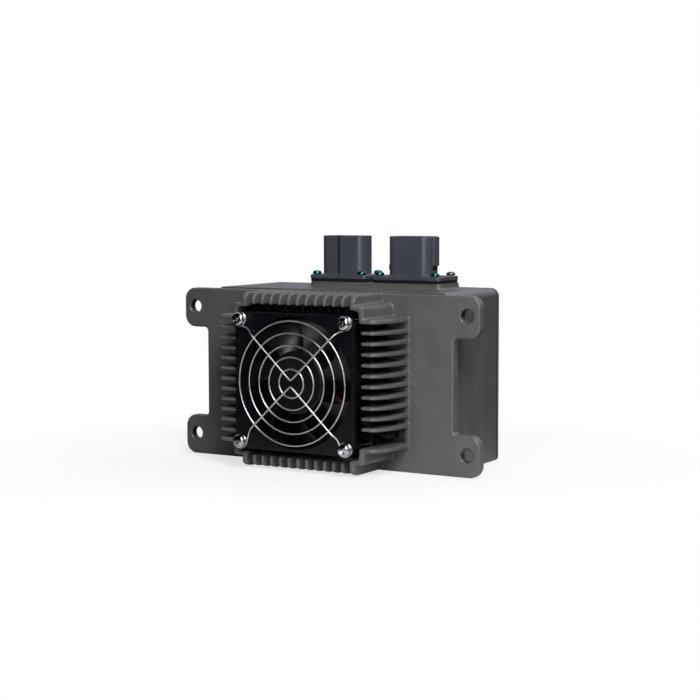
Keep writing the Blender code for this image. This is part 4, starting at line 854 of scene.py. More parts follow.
WASHER_STEEL = material(
    "plated washer", light=(0.52, 0.52, 0.54), dark=(0.38, 0.38, 0.40), rough=(0.14, 0.22), metallic=1.0,
    tone=300, grain=4000, depth=0.00002, strength=0.20, marks=0.12)
COVER_SCREW_STEEL = material(
    "dark cover screw", light=(0.22, 0.22, 0.23), dark=(0.15, 0.15, 0.16), rough=(0.30, 0.42),
    metallic=1.0, tone=300, grain=4000, depth=0.00002, strength=0.25, marks=0.18)
DARK_SCREW = material(
    "dark socket screw", light=(0.20, 0.20, 0.21), dark=(0.12, 0.12, 0.13), rough=(0.18, 0.28),
    metallic=1.0, tone=300, grain=4000, depth=0.00002, strength=0.20, marks=0.15)
TEAL_ZINC = material(
    "teal plated screw", light=(0.02, 0.22, 0.22), dark=(0.01, 0.13, 0.14), rough=(0.14, 0.22),
    metallic=1.0, tone=300, grain=4000, depth=0.00002, strength=0.20, marks=0.15, coat=0.3)
SLATE = {
    "light": (0.064, 0.070, 0.085), "dark": (0.048, 0.053, 0.066), "rough": (0.30, 0.38), "tone": 80,
    "grain": 2600, "depth": 0.00003, "strength": 0.25, "marks": 0.08
}
SLATE_SHELL = material("slate socket moulding", **SLATE)
KEYED_SHELL = material("slate keyed socket moulding", **SLATE)
darken_keyway(KEYED_SHELL)
SEAL_RUBBER = material(
    "seal rubber", light=(0.008, 0.008, 0.009), dark=(0.004, 0.004, 0.005), rough=(0.62, 0.78), tone=120,
    grain=1500, depth=0.00006, strength=0.40, marks=0.05, specular=0.2)
GROMMET_RUBBER = material(
    "grommet rubber", light=(0.022, 0.022, 0.022), dark=(0.012, 0.012, 0.012), rough=(0.55, 0.70),
    tone=150, grain=1700, depth=0.00005, strength=0.40, marks=0.05)
PIN_PLATE = material(
    "plated contact pin", light=(0.80, 0.77, 0.70), dark=(0.66, 0.63, 0.56), rough=(0.18, 0.26),
    metallic=1.0, tone=300, grain=3000, depth=0.00002, strength=0.20, marks=0.12)
RED_LEAD = material(
    "red lead sleeve", light=(0.50, 0.020, 0.015), dark=(0.36, 0.012, 0.010), rough=(0.34, 0.44),
    tone=200, grain=2000, depth=0.00003, strength=0.25, marks=0.08)
# Painted shade on the outer run of the red lead
shade_lead_outer_run(RED_LEAD)
BLACK_LEAD = material(
    "black lead sleeve", light=(0.020, 0.020, 0.020), dark=(0.010, 0.010, 0.010), rough=(0.34, 0.46),
    tone=200, grain=2000, depth=0.00003, strength=0.25, marks=0.08)


# Housing

def flange_outline():
    """Web with four ears: right side upwards, then the same mirrored."""
    root = EAR_ROOT_RADIUS
    low, high = EAR_TALL, FLANGE_HEIGHT - EAR_TALL
    centre = EAR_REACH - EAR_RADIUS
    right = arc((centre, EAR_RADIUS), EAR_RADIUS, -90, 0, 12)
    right += arc((centre, low - EAR_RADIUS), EAR_RADIUS, 0, 90, 12)
    right += arc((WEB_HALF + root, low + root), root, 270, 180, 6)
    right += arc((WEB_HALF + root, high - root), root, 180, 90, 6)
    right += arc((centre, high + EAR_RADIUS), EAR_RADIUS, -90, 0, 12)
    right += arc((centre, FLANGE_HEIGHT - EAR_RADIUS), EAR_RADIUS, 0, 90, 12)
    return right + [(-x, z) for x, z in reversed(right)]


def forward_loop(outline, depth):
    """Loop at a depth in front of the flange's rear face."""
    return along_y(outline, -depth)


def flange():
    return slab(flange_outline(), forward_loop, 0.0, FLANGE_THICK, FLANGE_EDGE, 5, SLIGHT_EDGE)


def case_outline(inset=0.0, steps=10):
    low, high = CASE_LOW_RADIUS, CASE_RADIUS
    if inset > GAP:
        low = high = WALL
    side, bottom, top = CASE_HALF - inset, inset, CASE_HEIGHT - inset
    outline = arc((side - low, bottom + low), low, -90, 0, steps)
    outline += arc((side - high, top - high), high, 0, 90, steps)
    return outline + [(-x, z) for x, z in reversed(outline)]


def case_walls():
    """Walls behind the flange, open at the rear, with broken edges round the opening."""
    outer, inner = case_outline(), case_outline(WALL)
    loops = [
        along_y(shifted(outer, -EDGE), -FLANGE_EDGE), along_y(outer, EDGE - FLANGE_EDGE),
        along_y(outer, CASE_DEPTH - EDGE), along_y(shifted(outer, -EDGE * 0.3), CASE_DEPTH - EDGE * 0.3),
        along_y(shifted(outer, -EDGE), CASE_DEPTH), along_y(shifted(inner, EDGE), CASE_DEPTH),
        along_y(inner, CASE_DEPTH - EDGE), along_y(inner, 0),
    ]
    return skin(loops)


def round_off(distance, corner):
    """How far a rounded corner, (wide, deep), falls back at a distance from the front."""
    wide, deep = corner
    if distance >= deep:
        return 0.0
    return wide * (1 - math.sqrt(1 - (1 - distance / deep) ** 2))


def flare(distance, radius):
    """How far a root spreads at a distance from the surface it stands on."""
    if distance >= radius:
        return 0.0
    return radius - math.sqrt(radius ** 2 - (radius - distance) ** 2)


def depth_stations(corner):
    """Depths behind the fins' front where the rounded noses, corners and roots need a row."""
    total = FLANGE_FRONT_Y - FIN_FRONT_Y
    depths = {0.0, total, total + FIN_SUNK, total / 2}
    for radius, steps in ((FIN_NOSE, 4), (corner[1], 10), (SIDE_CORNER[1], 12)):
        depths.update(round(radius * (1 - fall), 7) for rise, fall in quarter_turns(steps)[1:])
    for radius in (FIN_VALLEY, FIN_FLARE):
        depths.update(round(total - radius * (1 - rise), 7) for rise, fall in quarter_turns(5)[:-1])
    kept = []
    for depth in sorted(depths):
        if not kept or depth - kept[-1] > LEAST_STEP:
            kept.append(depth)
    return kept


def fin_body(pocket, outer, tip, corner, spread):
    """One tall fin beside the fan, standing across v = 0 in (outwards, y, v), lofted from nose to root."""
    total = FLANGE_FRONT_Y - FIN_FRONT_Y
    rounding = tip * 0.45
    loops = []
    for depth in depth_stations(corner):
        part = min(depth / total, 1.0)
        above = max(total - depth, 0.0)
        nose = round_off(depth, (rounding, rounding))
        half = mix(tip, FIN_ROOT, part) / 2 - nose + flare(above, FIN_VALLEY)
        end = outer - FIN_DRAFT * (1 - part) - round_off(depth, corner) + flare(above, FIN_FLARE) * spread
        start = pocket + nose
        half = max(half, LEAST_HALF)
        ring = min(half, rounding) * 0.98
        outline = arc((start + ring, half - ring), ring, 90, 180, 3)
        outline += arc((start + ring, -half + ring), ring, 180, 270, 3)
        outline += arc((end - ring, -half + ring), ring, -90, 0, 4)
        outline += arc((end - ring, half - ring), ring, 0, 90, 4)
        loops.append([Vector((u, FIN_FRONT_Y + depth, v)) for u, v in outline])
    return skin(loops)


def low_fin(inner, pocket):
    """The low part of a fin that runs on under the fan."""
    half, end, nose = FIN_ROOT / 2 - LOW_FIN_NARROWER, pocket + OVERLAP, LOW_FIN_NOSE
    loops = []
    for y, fall in ((0.0, nose), (nose * 0.3, nose * 0.3), (nose, 0.0), (FIN_ROOT_Y - UNDER_FAN_Y, 0.0)):
        start, v = inner + fall, half - fall
        outline = [(start, -v), (end, -v), (end, v), (start, v)]
        loops.append([Vector((u, UNDER_FAN_Y + y, w)) for u, w in outline])
    return skin(loops)


def fins_on_side(outward, across, offsets, pocket, outer, tip, corner, spread):
    """A row of fins on one side of the fan; spread says how much of the outer root flare that side has."""
    row = []
    columns = (outward, Vector((0, 1, 0)), across)
    turn = Matrix([[c[i] for c in columns] for i in range(3)]).to_4x4()
    for offset in offsets:
        inner = max(abs(offset) + FIN_MITRE, HUB_ROOM)
        place = Matrix.Translation(Vector((0, 0, FAN_Z)) + across * offset) @ turn
        for bm in (fin_body(pocket, outer, tip, corner, spread), low_fin(inner, pocket)):
            bmesh.ops.transform(bm, matrix=place, verts=bm.verts)
            bmesh.ops.recalc_face_normals(bm, faces=bm.faces)
            row.append(bm)
    return row


def all_fins():
    steps = range(-FINS_EACH_WAY, FINS_EACH_WAY + 1)
    offsets = [k * FIN_PITCH for k in steps]
    left = [offset - SIDE_FIN_DROP for offset in offsets]
    right = [k * FIN_PITCH - SIDE_FIN_DROP for k in steps if k != MISSING_FIN]
    x, z = Vector((1, 0, 0)), Vector((0, 0, 1))
    rows = fins_on_side(x, z, right, POCKET_HALF_X, BLOCK_HALF_X, SIDE_FIN_TIP, SIDE_CORNER, 1.0)
    rows += fins_on_side(-x, z, left, POCKET_HALF_X, BLOCK_HALF_X, SIDE_FIN_TIP, LEFT_CORNER, 1.0)
    rows += fins_on_side(z, x, offsets, POCKET_HALF_Z, BLOCK_HALF_Z, FIN_TIP, TOP_CORNER, 0.0)
    rows += fins_on_side(-z, x, offsets, POCKET_HALF_Z, BLOCK_LOW_Z, FIN_TIP, BOTTOM_CORNER, 0.3)
    return gather(rows)


def root_pads():
    """Low strips that the side fins stand on, a little proud of the flange."""
    last = (FINS_EACH_WAY + 1) * FIN_PITCH + FIN_ROOT / 2
    pads = []
    for side in (-1, 1):
        near, far = sorted((side * (POCKET_HALF_X + OVERLAP), side * (BLOCK_HALF_X + ROOT_PAD_WIDER)))
        outline = rounded_rectangle((near, FAN_Z - last), (far, FAN_Z + last), ROOT_PAD_CORNER, 4)
        low, high = FLANGE_THICK - OVERLAP, FLANGE_THICK + ROOT_PAD_PROUD
        pads.append(slab(outline, forward_loop, low, high, EDGE, 4))
    return gather(pads)


def corner_section(depth, highest, corner, side_corner):
    """Stepped section of a corner block at one depth, outwards from the fan's axis, with rounded edges."""
    total = FLANGE_FRONT_Y - FIN_FRONT_Y
    part = min(depth / total, 1.0)
    above = max(total - depth, 0.0)
    half = mix(FIN_TIP, FIN_ROOT, part) / 2
    last = (FINS_EACH_WAY + 1) * FIN_PITCH
    side = mix(BLOCK_HALF_X - FIN_DRAFT, BLOCK_HALF_X, part) - round_off(depth, side_corner)
    sweep = mix(*STEP_SWEEP, part)
    one, two, shelf = mix(*STEP_ONE, part), mix(*STEP_TWO, part), mix(*SHELF, part)
    top = highest - round_off(depth, corner)
    corners = [
        (last - half, top), (one, top), (one, shelf), (two, shelf), (two, last + half), (side, last + half),
        (side, last - half), (CORNER_HALF_X, last - half), (CORNER_HALF_X, CORNER_HALF_Z),
        (last - half, CORNER_HALF_Z),
    ]
    first = mix(*(STEP_TOP_ROUND if highest == BLOCK_HALF_Z else STEP_LOW_ROUND), part)
    rounds = (BLOCK_END_EDGE, first, -STEP_HOLLOW, sweep, -STEP_HOLLOW, BLOCK_EDGE, BLOCK_EDGE, BLOCK_EDGE,
              -CORNER_ROUND, BLOCK_EDGE)
    grow = flare(above, FIN_VALLEY) - round_off(depth, (FIN_NOSE, FIN_NOSE))
    wide = max(flare(above, FIN_FLARE) - flare(above, FIN_VALLEY), 0.0)
    placed = []
    for (x, z), size in zip(shifted(corners, grow), rounds):
        radius = max(abs(size) + math.copysign(grow, size), LEAST_HALF)
        if x > two + 2 * OVERLAP:
            x += wide
        placed.append((x, z, radius))
    return rounded_polygon(placed)


def corner_blocks():
    """The four stepped corners that close the fin block, with rounded noses and spreading roots."""
    blocks = []
    for sx, side_corner in ((-1, LEFT_CORNER), (1, SIDE_CORNER)):
        for sz, highest, corner in ((-1, BLOCK_LOW_Z, BOTTOM_CORNER), (1, BLOCK_HALF_Z, TOP_CORNER)):
            loops = []
            for depth in depth_stations(corner):
                section = corner_section(depth, highest, corner, side_corner)
                outline = [(sx * u, sz * min(w, highest)) for u, w in section]
                loops.append([Vector((x, FIN_FRONT_Y + depth, FAN_Z + z)) for x, z in outline])
            blocks.append(skin(loops))
    return gather(blocks)


def socket_boss():
    """Cast seat for both sockets, flared where it leaves the top wall, with a rounded upper rim."""
    loops = []
    heights = [(CASE_HEIGHT - WALL / 2, BOSS_FILLET)]
    for rise, fall in quarter_turns(9)[:-1]:
        heights.append((CASE_HEIGHT + BOSS_FILLET * (1 - fall), BOSS_FILLET * (1 - rise)))
    heights += [(BOSS_TOP - EDGE, 0.0), (BOSS_TOP - EDGE * 0.3, -EDGE * 0.3), (BOSS_TOP, -EDGE)]
    for z, spread in heights:
        low = (BOSS_LOW_X - spread, BOSS_FRONT_Y - spread)
        high = (BOSS_HIGH_X + spread, BOSS_REAR_Y + spread)
        loops.append(along_z(rounded_rectangle(low, high, BOSS_CORNER + spread, 8), z))
    return skin(loops)


def blank_pad():
    """Low bare pad cast on the top wall."""
    outline = rounded_rectangle(PAD_LOW, PAD_HIGH, PAD_CORNER, 6)
    return slab(outline, along_z, CASE_HEIGHT - WALL / 2, PAD_TOP, SLIGHT_EDGE)


def fan_hole_places():
    half = FAN_HOLE_SPACING / 2
    return [(sx * half, FAN_Z + sz * half) for sz in (1, -1) for sx in (-1, 1)]


def cover_screw_places():
    side = CASE_HALF - COVER_SCREW_INSET
    heights = (COVER_SCREW_INSET, CASE_HEIGHT / 2, CASE_HEIGHT - COVER_SCREW_INSET)
    return [(x, z) for z in heights for x in (-side, side)]


def posts():
    """Square posts in the fan's pocket and round ones for the rear cover."""
    made = []
    for x, z in fan_hole_places():
        sx, sz = math.copysign(1, x), math.copysign(1, z - FAN_Z)
        near = (x - sx * POST_HALF, z - sz * POST_HALF)
        far = (sx * POCKET_HALF_X, FAN_Z + sz * POCKET_HALF_Z)
        low = (min(near[0], far[0]), FAN_REAR_Y + GAP, min(near[1], far[1]))
        high = (max(near[0], far[0]), FIN_ROOT_Y, max(near[1], far[1]))
        made.append(box(low, high))
    for x, z in cover_screw_places():
        made.append(round_bar((x, -OVERLAP, z), (x, COVER_LOW_Y - GAP, z), COVER_POST_RADIUS))
    return gather(made)


def mounting_holes():
    reach, rim = MOUNT_HOLE_RADIUS, MOUNT_RIM
    profile = [(0, -rim), (reach + 2 * rim, -rim), (reach, rim), (reach, FLANGE_THICK - rim)]
    profile += [(reach + 2 * rim, FLANGE_THICK + rim), (0, FLANGE_THICK + rim)]
    holes = []
    for x in (-MOUNT_X, MOUNT_X):
        for z in MOUNT_HEIGHTS:
            holes.append(turned(profile, 64, Matrix.Translation((x, 0, z)) @ FRONTWARD))
    return gather(holes)


def about_socket(x, half_x, half_y, radius, steps):
    """Rounded outline about a place in the sockets' row."""
    return rounded_rectangle((x - half_x, SOCKET_Y - half_y), (x + half_x, SOCKET_Y + half_y), radius, steps)


def shell_outline(kind, inset=0.0, steps=8):
    socket = SOCKETS[kind]
    wide, deep = socket["shell"]
    return about_socket(socket["x"], wide / 2 - inset, deep / 2 - inset, SHELL_CORNER - inset, steps)


def grommet_hole():
    x, z = GROMMET_PLACE
    front, rear = GROMMET_HOLE_Y
    return round_bar((x, front, z), (x, rear, z), GROMMET_NECK + GAP)


def housing():
    """The casting in four pieces: flange, case walls, socket seat and fin block."""
    plate = solid("housing_flange", flange())
    cut(plate, mounting_holes())
    cut(plate, grommet_hole())
    piece(plate, CASTING, "housing")
    walls = solid("housing_case", case_walls())
    cut(walls, grommet_hole())
    add(walls, blank_pad())
    boss = solid("housing_boss", socket_boss())
    for kind in SOCKETS:
        hole = shell_outline(kind, PLUG_INSET - GAP)
        for ob in (walls, boss):
            cut(ob, skin([along_z(hole, CASE_HEIGHT - 2 * WALL), along_z(hole, BOSS_TOP + WALL)]))
    piece(walls, SHADED_CASE_COAT, "housing")
    piece(boss, CASTING, "housing")
    fins = solid("housing_fins", gather([all_fins(), root_pads(), corner_blocks(), posts()]))
    piece(fins, CASTING, "housing", angle=50)


# Rear cover

def cover_field(inset):
    """Outline of the cover's raised field, inset from the cover's edge."""
    low, high = (-CASE_HALF + inset, inset), (CASE_HALF - inset, CASE_HEIGHT - inset)
    return rounded_rectangle(low, high, COVER_FIELD_CORNER, 10)


def rear_cover():
    """Plate with a raised field and six screw holes."""
    wide, narrow = COVER_FIELD_INSET, COVER_FIELD_INSET + 2 * COVER_FIELD_RISE
    outer = case_outline()
    loops = [along_y(cover_field(narrow), COVER_LOW_Y + COVER_FIELD_HOLLOW)]
    loops.append(along_y(cover_field(wide), COVER_LOW_Y))
    loops += [along_y(shifted(outer, -EDGE * 0.5), COVER_LOW_Y), along_y(outer, COVER_LOW_Y + EDGE * 0.5)]
    for rise, fall in quarter_turns(4):
        loops.append(along_y(shifted(outer, -EDGE * (1 - fall)), COVER_TOP_Y - EDGE * (1 - rise)))
    for k in range(9):
        part = k / 8
        rise = part * part * (3 - 2 * part)
        loops.append(along_y(cover_field(mix(wide, narrow, part)), COVER_TOP_Y + COVER_FIELD_RISE * rise))
    ob = solid("rear_cover_plate", skin(loops))
    holes = []
    low, high = COVER_LOW_Y - GAP, COVER_TOP_Y + GAP
    for x, z in cover_screw_places():
        holes.append(round_bar((x, low, z), (x, high, z), COVER_SCREW_RADIUS + PRESSED))
    cut(ob, gather(holes))
    piece(ob, COVER_COAT, "rear_cover")


def cover_gasket():
    """Seal between the case and its cover, with a bulging outer edge."""
    low, high = GASKET_LOW_Y, GASKET_HIGH_Y
    bulge = (high - low) * 0.2
    ring = [
        along_y(case_outline(GAP), low + bulge), along_y(case_outline(GAP), high - bulge),
        along_y(case_outline(WALL - GAP), high), along_y(case_outline(WALL - GAP), low),
    ]
    piece(solid("rear_cover_seal", skin(ring, ring=True)), SEAL_RUBBER, "cover_gasket")


# Screws

def cross_cutter(reach, depth, top):
    """Cross recess that narrows towards its floor."""
    def cross(long, wide):
        return [(long, -wide), (long, wide), (wide, wide), (wide, long), (-wide, long), (-wide, wide),
                (-long, wide), (-long, -wide), (-wide, -wide), (-wide, -long), (wide, -long), (wide, -wide)]

    loops = [along_z(cross(reach * 0.45, reach * 0.16), top - depth)]
    loops.append(along_z(cross(reach * 0.98, reach * 0.20), top - depth * 0.25))
    loops.append(along_z(cross(reach * 1.12, reach * 0.27), top + depth))
    return skin(loops)


def screw_pattern(radius, head, tall, length):
    """Pan-head screw standing on z = 0 with a domed head and a cross recess."""
    profile = [(0, -length), (radius * 0.7, -length), (radius, -length + radius * 0.5), (radius, 0)]
    profile.append((head * 0.97, 0))
    for k in range(9):
        turn = math.radians(mix(-12, 90, k / 8))
        rise = max(0.0, math.sin(turn)) * 0.96
        profile.append((head * (0.42 + 0.58 * math.cos(turn)), tall * mix(0.30, 1.0, rise)))
    profile += [(head * 0.2, tall), (0, tall)]
    ob = solid("screw_pattern", turned(profile, 48))
    cut(ob, cross_cutter(head * 0.60, tall * 0.70, tall))
    return ob


def screws(names, places, direction, sizes, looks, twist):
    """A set of screws alike, each turned further than the one before."""
    pattern = screw_pattern(*sizes)
    for i, (name, place, look) in enumerate(zip(names, places, looks)):
        ob = bpy.data.objects.new(f"{name}_visual", pattern.data.copy())
        bpy.context.scene.collection.objects.link(ob)
        turn = Matrix.Rotation(math.radians(twist + 37 * i), 4, "Z")
        ob.data.transform(Matrix.Translation(place) @ direction @ turn)
        piece(ob, look, name, angle=28)
    bpy.data.objects.remove(pattern, do_unlink=True)


def all_screws():
    names = [f"fan_screw_{i + 1}" for i in range(4)]
    places = [(x, FAN_HEAD_Y, z) for x, z in fan_hole_places()]
    sizes = (FAN_SCREW_RADIUS, FAN_SCREW_HEAD, FAN_SCREW_HEAD_TALL, FAN_SCREW_LENGTH)
    screws(names, places, FRONTWARD, sizes, [SCREW_CHROME] * 4, 20)
    names = [f"cover_screw_{i + 1}" for i in range(6)]
    places = [(x, COVER_TOP_Y + GAP, z) for x, z in cover_screw_places()]
    sizes = (COVER_SCREW_RADIUS, COVER_SCREW_HEAD, COVER_SCREW_HEAD_TALL, COVER_SCREW_LENGTH)
    screws(names, places, REARWARD, sizes, [COVER_SCREW_STEEL] * 6, 10)
    sizes = (SOCKET_SCREW_RADIUS, SOCKET_SCREW_HEAD, SOCKET_SCREW_HEAD_TALL, SOCKET_SCREW_LENGTH)
    for kind, last in (("input", TEAL_ZINC), ("output", DARK_SCREW)):
        names = [f"{kind}_screw_{i + 1}" for i in range(4)]
        places = [(x, y, PLATE_TOP + GAP) for x, y in socket_screw_places(kind)]
        screws(names, places, UPWARD, sizes, [TEAL_ZINC] * 3 + [last], 15)


def fan_washers():
    hole, rim = FAN_SCREW_RADIUS + PRESSED, WASHER_EDGE
    profile = [
        (hole, rim), (hole + rim, 0), (WASHER_RADIUS - rim, 0), (WASHER_RADIUS, rim),
        (WASHER_RADIUS, WASHER_THICK - rim), (WASHER_RADIUS - rim, WASHER_THICK),
        (hole + rim, WASHER_THICK), (hole, WASHER_THICK - rim),
    ]
    for i, (x, z) in enumerate(fan_hole_places()):
        bm = turned(profile, 64, Matrix.Translation((x, WASHER_Y, z)) @ FRONTWARD)
        piece(solid(f"fan_washer_{i + 1}_visual", bm), WASHER_STEEL, f"fan_washer_{i + 1}")


# Fan

def square_outline(half, radius, steps=8):
    return rounded_rectangle((-half, -half), (half, half), radius, steps)


def motor_mount():
    bore = BEARING_RADIUS + PRESSED
    outer = bore + BEARING_TUBE_WALL
    shoulder = bore - BEARING_SHOULDER
    low = BEARING_LOW + BEARING_WIDE + GAP
    high = BEARING_TUBE_TOP - BEARING_WIDE - GAP
    profile = [
        (bore, 0), (MOTOR_BASE_RADIUS - FAN_EDGE, 0), (MOTOR_BASE_RADIUS, FAN_EDGE),
        (MOTOR_BASE_RADIUS, MOTOR_BASE_THICK), (outer, MOTOR_BASE_THICK), (outer, BEARING_TUBE_TOP),
        (bore, BEARING_TUBE_TOP), (bore, high), (shoulder, high), (shoulder, low), (bore, low),
    ]
    return turned(profile, 64, Matrix.Translation(FAN_AXIS) @ FRONTWARD)


def about_fan(angle):
    return Matrix.Translation(FAN_AXIS) @ Matrix.Rotation(angle, 4, "Y") @ Matrix.Translation(-FAN_AXIS)


def struts():
    """Flat bars from the motor's mount to the duct."""
    wide = STRUT_WIDE / 2
    start, end = MOTOR_BASE_RADIUS - DUCT_WALL, FAN_BORE + DUCT_WALL / 2
    outline = [(start, -wide), (end, -wide), (end, wide), (start, wide)]
    bars = []
    for k in range(STRUT_COUNT):
        bm = slab(outline, frontwards, 0, STRUT_TALL, EDGE, 2, SLIGHT_EDGE)
        turn = about_fan(-LEAD_STRUT_ANGLE - k * 2 * math.pi / STRUT_COUNT)
        bmesh.ops.transform(bm, matrix=turn, verts=bm.verts)
        bars.append(bm)
    return gather(bars)


def lead_groove():
    wide = LEAD_SPREAD + LEAD_RADIUS + GAP
    start = MOTOR_BASE_RADIUS - STRUT_TALL
    outline = [(start, -wide), (FAN_SIZE, -wide), (FAN_SIZE, wide), (start, wide)]
    bm = skin([frontwards(outline, LEAD_GROOVE_FLOOR), frontwards(outline, STRUT_TALL + FAN_PLATE)])
    bmesh.ops.transform(bm, matrix=about_fan(-LEAD_STRUT_ANGLE), verts=bm.verts)
    return bm


def fan_frame():
    """Square fan frame with rounded rims, a flared bore, screw holes and the motor's mount."""
    outline = square_outline(FAN_SIZE / 2, FAN_CORNER)
    rear = slab(outline, frontwards, 0, FAN_PLATE, FAN_EDGE, 4, FAN_EDGE)
    front = slab(outline, frontwards, FAN_DEPTH - FAN_PLATE, FAN_DEPTH, FAN_EDGE, 4, FAN_EDGE)
    ob = solid("fan_frame_moulding", gather([rear, front]))
    duct = FAN_BORE + DUCT_WALL
    low, high = FAN_PLATE / 2, FAN_DEPTH - FAN_PLATE / 2
    turn = Matrix.Translation(FAN_AXIS) @ FRONTWARD
    join(ob, turned([(0, low), (duct, low), (duct, high), (0, high)], 96, turn))
    flare_out = FAN_PLATE / 3
    bore = [(0, -GAP), (FAN_BORE + FAN_BORE_FLARE, -GAP), (FAN_BORE, FAN_BORE_FLARE)]
    bore.append((FAN_BORE, FAN_DEPTH - flare_out))
    for rise, fall in quarter_turns(5)[1:]:
        bore.append((FAN_BORE + flare_out * 0.55 * (1 - fall),
                     FAN_DEPTH - flare_out + (flare_out + GAP) * rise))
    bore.append((0, FAN_DEPTH + GAP))
    cut(ob, turned(bore, 96, turn))
    holes = []
    for x, z in sorted(fan_hole_places()):
        holes.append(round_bar((x, FAN_REAR_Y + GAP, z), (x, FAN_FRONT_Y - GAP, z), FAN_HOLE_RADIUS))
    cut(ob, gather(holes))
    join(ob, struts())
    join(ob, motor_mount())
    cut(ob, lead_groove())
    piece(ob, FAN_BLACK, "fan_frame")


def blade(turn):
    """One twisted and swept blade with rounded edges, between the hub and the tip."""
    root, tip = HUB_RADIUS - HUB_WALL / 2, FAN_BORE - BLADE_TIP_ROOM
    spans, chords = 14, 16
    grid = []
    for i in range(spans + 1):
        part = i / spans
        radius = mix(root, tip, part)
        wrap = mix(BLADE_WRAP_ROOT, BLADE_WRAP_TIP, part)
        inset = mix(0.0, BLADE_TIP_INSET, part)
        row = []
        for j in range(chords + 1):
            c = j / chords
            angle = turn + BLADE_SWEEP * part ** 1.5 + wrap * (c - 0.5)
            bow = BLADE_BOW * math.sin(math.pi * c)
            s = mix(BLADE_LOW + inset, BLADE_HIGH - inset, c) + bow
            row.append(Vector((radius * math.cos(angle), FAN_REAR_Y - s, FAN_Z + radius * math.sin(angle))))
        grid.append(row)
    bm = bmesh.new()
    sheets = []
    for side in (-0.5, 0.5):
        sheet = []
        for i, row in enumerate(grid):
            line = []
            for j, point in enumerate(row):
                along = row[min(j + 1, chords)] - row[max(j - 1, 0)]
                out = grid[min(i + 1, spans)][j] - grid[max(i - 1, 0)][j]
                c = j / chords
                round_end = min(1.0, 0.35 + 5.2 * min(c, 1 - c)) * (0.6 if i == spans else 1.0)
                taper = (0.55 + 0.45 * math.sin(math.pi * (0.15 + 0.7 * c))) * round_end
                line.append(bm.verts.new(point + along.cross(out).normalized() * BLADE_THICK * taper * side))
            sheet.append(line)
        sheets.append(sheet)
    low, high = sheets
    for i in range(spans):
        for j in range(chords):
            bm.faces.new((low[i][j], low[i + 1][j], low[i + 1][j + 1], low[i][j + 1]))
            bm.faces.new((high[i][j], high[i][j + 1], high[i + 1][j + 1], high[i + 1][j]))
    rim = [(i, 0) for i in range(spans)] + [(spans, j) for j in range(chords)]
    rim += [(i, chords) for i in range(spans, 0, -1)] + [(0, j) for j in range(chords, 0, -1)]
    for (a, b), (c, d) in zip(rim, rim[1:] + rim[:1]):
        bm.faces.new((low[a][b], low[c][d], high[c][d], high[a][b]))
    bmesh.ops.recalc_face_normals(bm, faces=bm.faces)
    return bm


def fan_impeller():
    inner = HUB_RADIUS - HUB_WALL
    disc = HUB_FRONT - HUB_DISC
    bore = SHAFT_RADIUS + PRESSED
    boss_low = BEARING_TUBE_TOP + GAP * 3
    dish = HUB_FRONT - HUB_DISH
    corners = [
        (0, dish, 0), (HUB_RADIUS * 0.55, dish, EDGE), (HUB_RADIUS * 0.58, HUB_FRONT, EDGE),
        (HUB_RADIUS, HUB_FRONT, HUB_EDGE), (HUB_RADIUS, HUB_LOW, SLIGHT_EDGE), (inner, HUB_LOW, 0),
        (inner, disc, 0), (BOSS_RADIUS, disc, 0), (BOSS_RADIUS, boss_low, 0), (bore, boss_low, 0),
        (bore, disc, 0), (0, disc, 0),
    ]
    turn = Matrix.Translation(FAN_AXIS) @ FRONTWARD
    ob = solid("fan_impeller_moulding", turned(rounded_profile(corners, 6), 96, turn))
    for k in range(BLADE_COUNT):
        join(ob, blade(2 * math.pi * k / BLADE_COUNT))
    piece(ob, BLADE_BLACK, "fan_impeller", "rotor", 40)


# Finger guard

def guard_arm(up):
    """One bent wire: an eye round a screw, in to a tip beside the middle, and out to the next eye."""
    half = FAN_HOLE_SPACING / 2
    middle = Vector((0, GUARD_ARM_Y, FAN_Z + up * GUARD_TIP))
    eyes, runs = [], []
    for side in (-1, 1):
        corner = Vector((side * half, EYE_Y, FAN_Z + up * half))
        inward = Vector((-side, 0, -up)).normalized()
        first = math.atan2(inward.z, inward.x) + side * EYE_START
        turns = [first + side * EYE_TURN * k / EYE_STEPS for k in range(EYE_STEPS, -1, -1)]
        eyes.append([corner + GUARD_EYE * Vector((math.cos(t), 0, math.sin(t))) for t in turns])
        low, high = corner + inward * (GUARD_EYE * 2.1), corner + inward * (GUARD_EYE * 3.3)
        high.y = GUARD_ARM_Y
        near = middle + Vector((side * GUARD_TIP * 1.1, 0, up * GUARD_TIP * 0.9))
        runs.append([low, high, near])
    corners = [eyes[0][-1], *runs[0], middle, *reversed(runs[1]), eyes[1][-1]]
    return eyes[0][:-1] + soft_path(corners, GUARD_BEND, 8) + eyes[1][-2::-1]


def finger_guard():
    rings = []
    for k in range(GUARD_RINGS):
        radius = GUARD_INNER + k * GUARD_RING_STEP
        steps = 48 + 16 * k
        turns = [2 * math.pi * i / steps for i in range(steps)]
        path = [Vector((radius * math.cos(t), GUARD_RING_Y, FAN_Z + radius * math.sin(t))) for t in turns]
        rings.append(tube(path, GUARD_WIRE, 12, closed=True))
    for up in (1, -1):
        rings.append(tube(guard_arm(up), GUARD_ARM_WIRE, 12))
    piece(solid("finger_guard_wires", gather(rings)), WIRE_CHROME, "finger_guard", angle=70)


# Leads

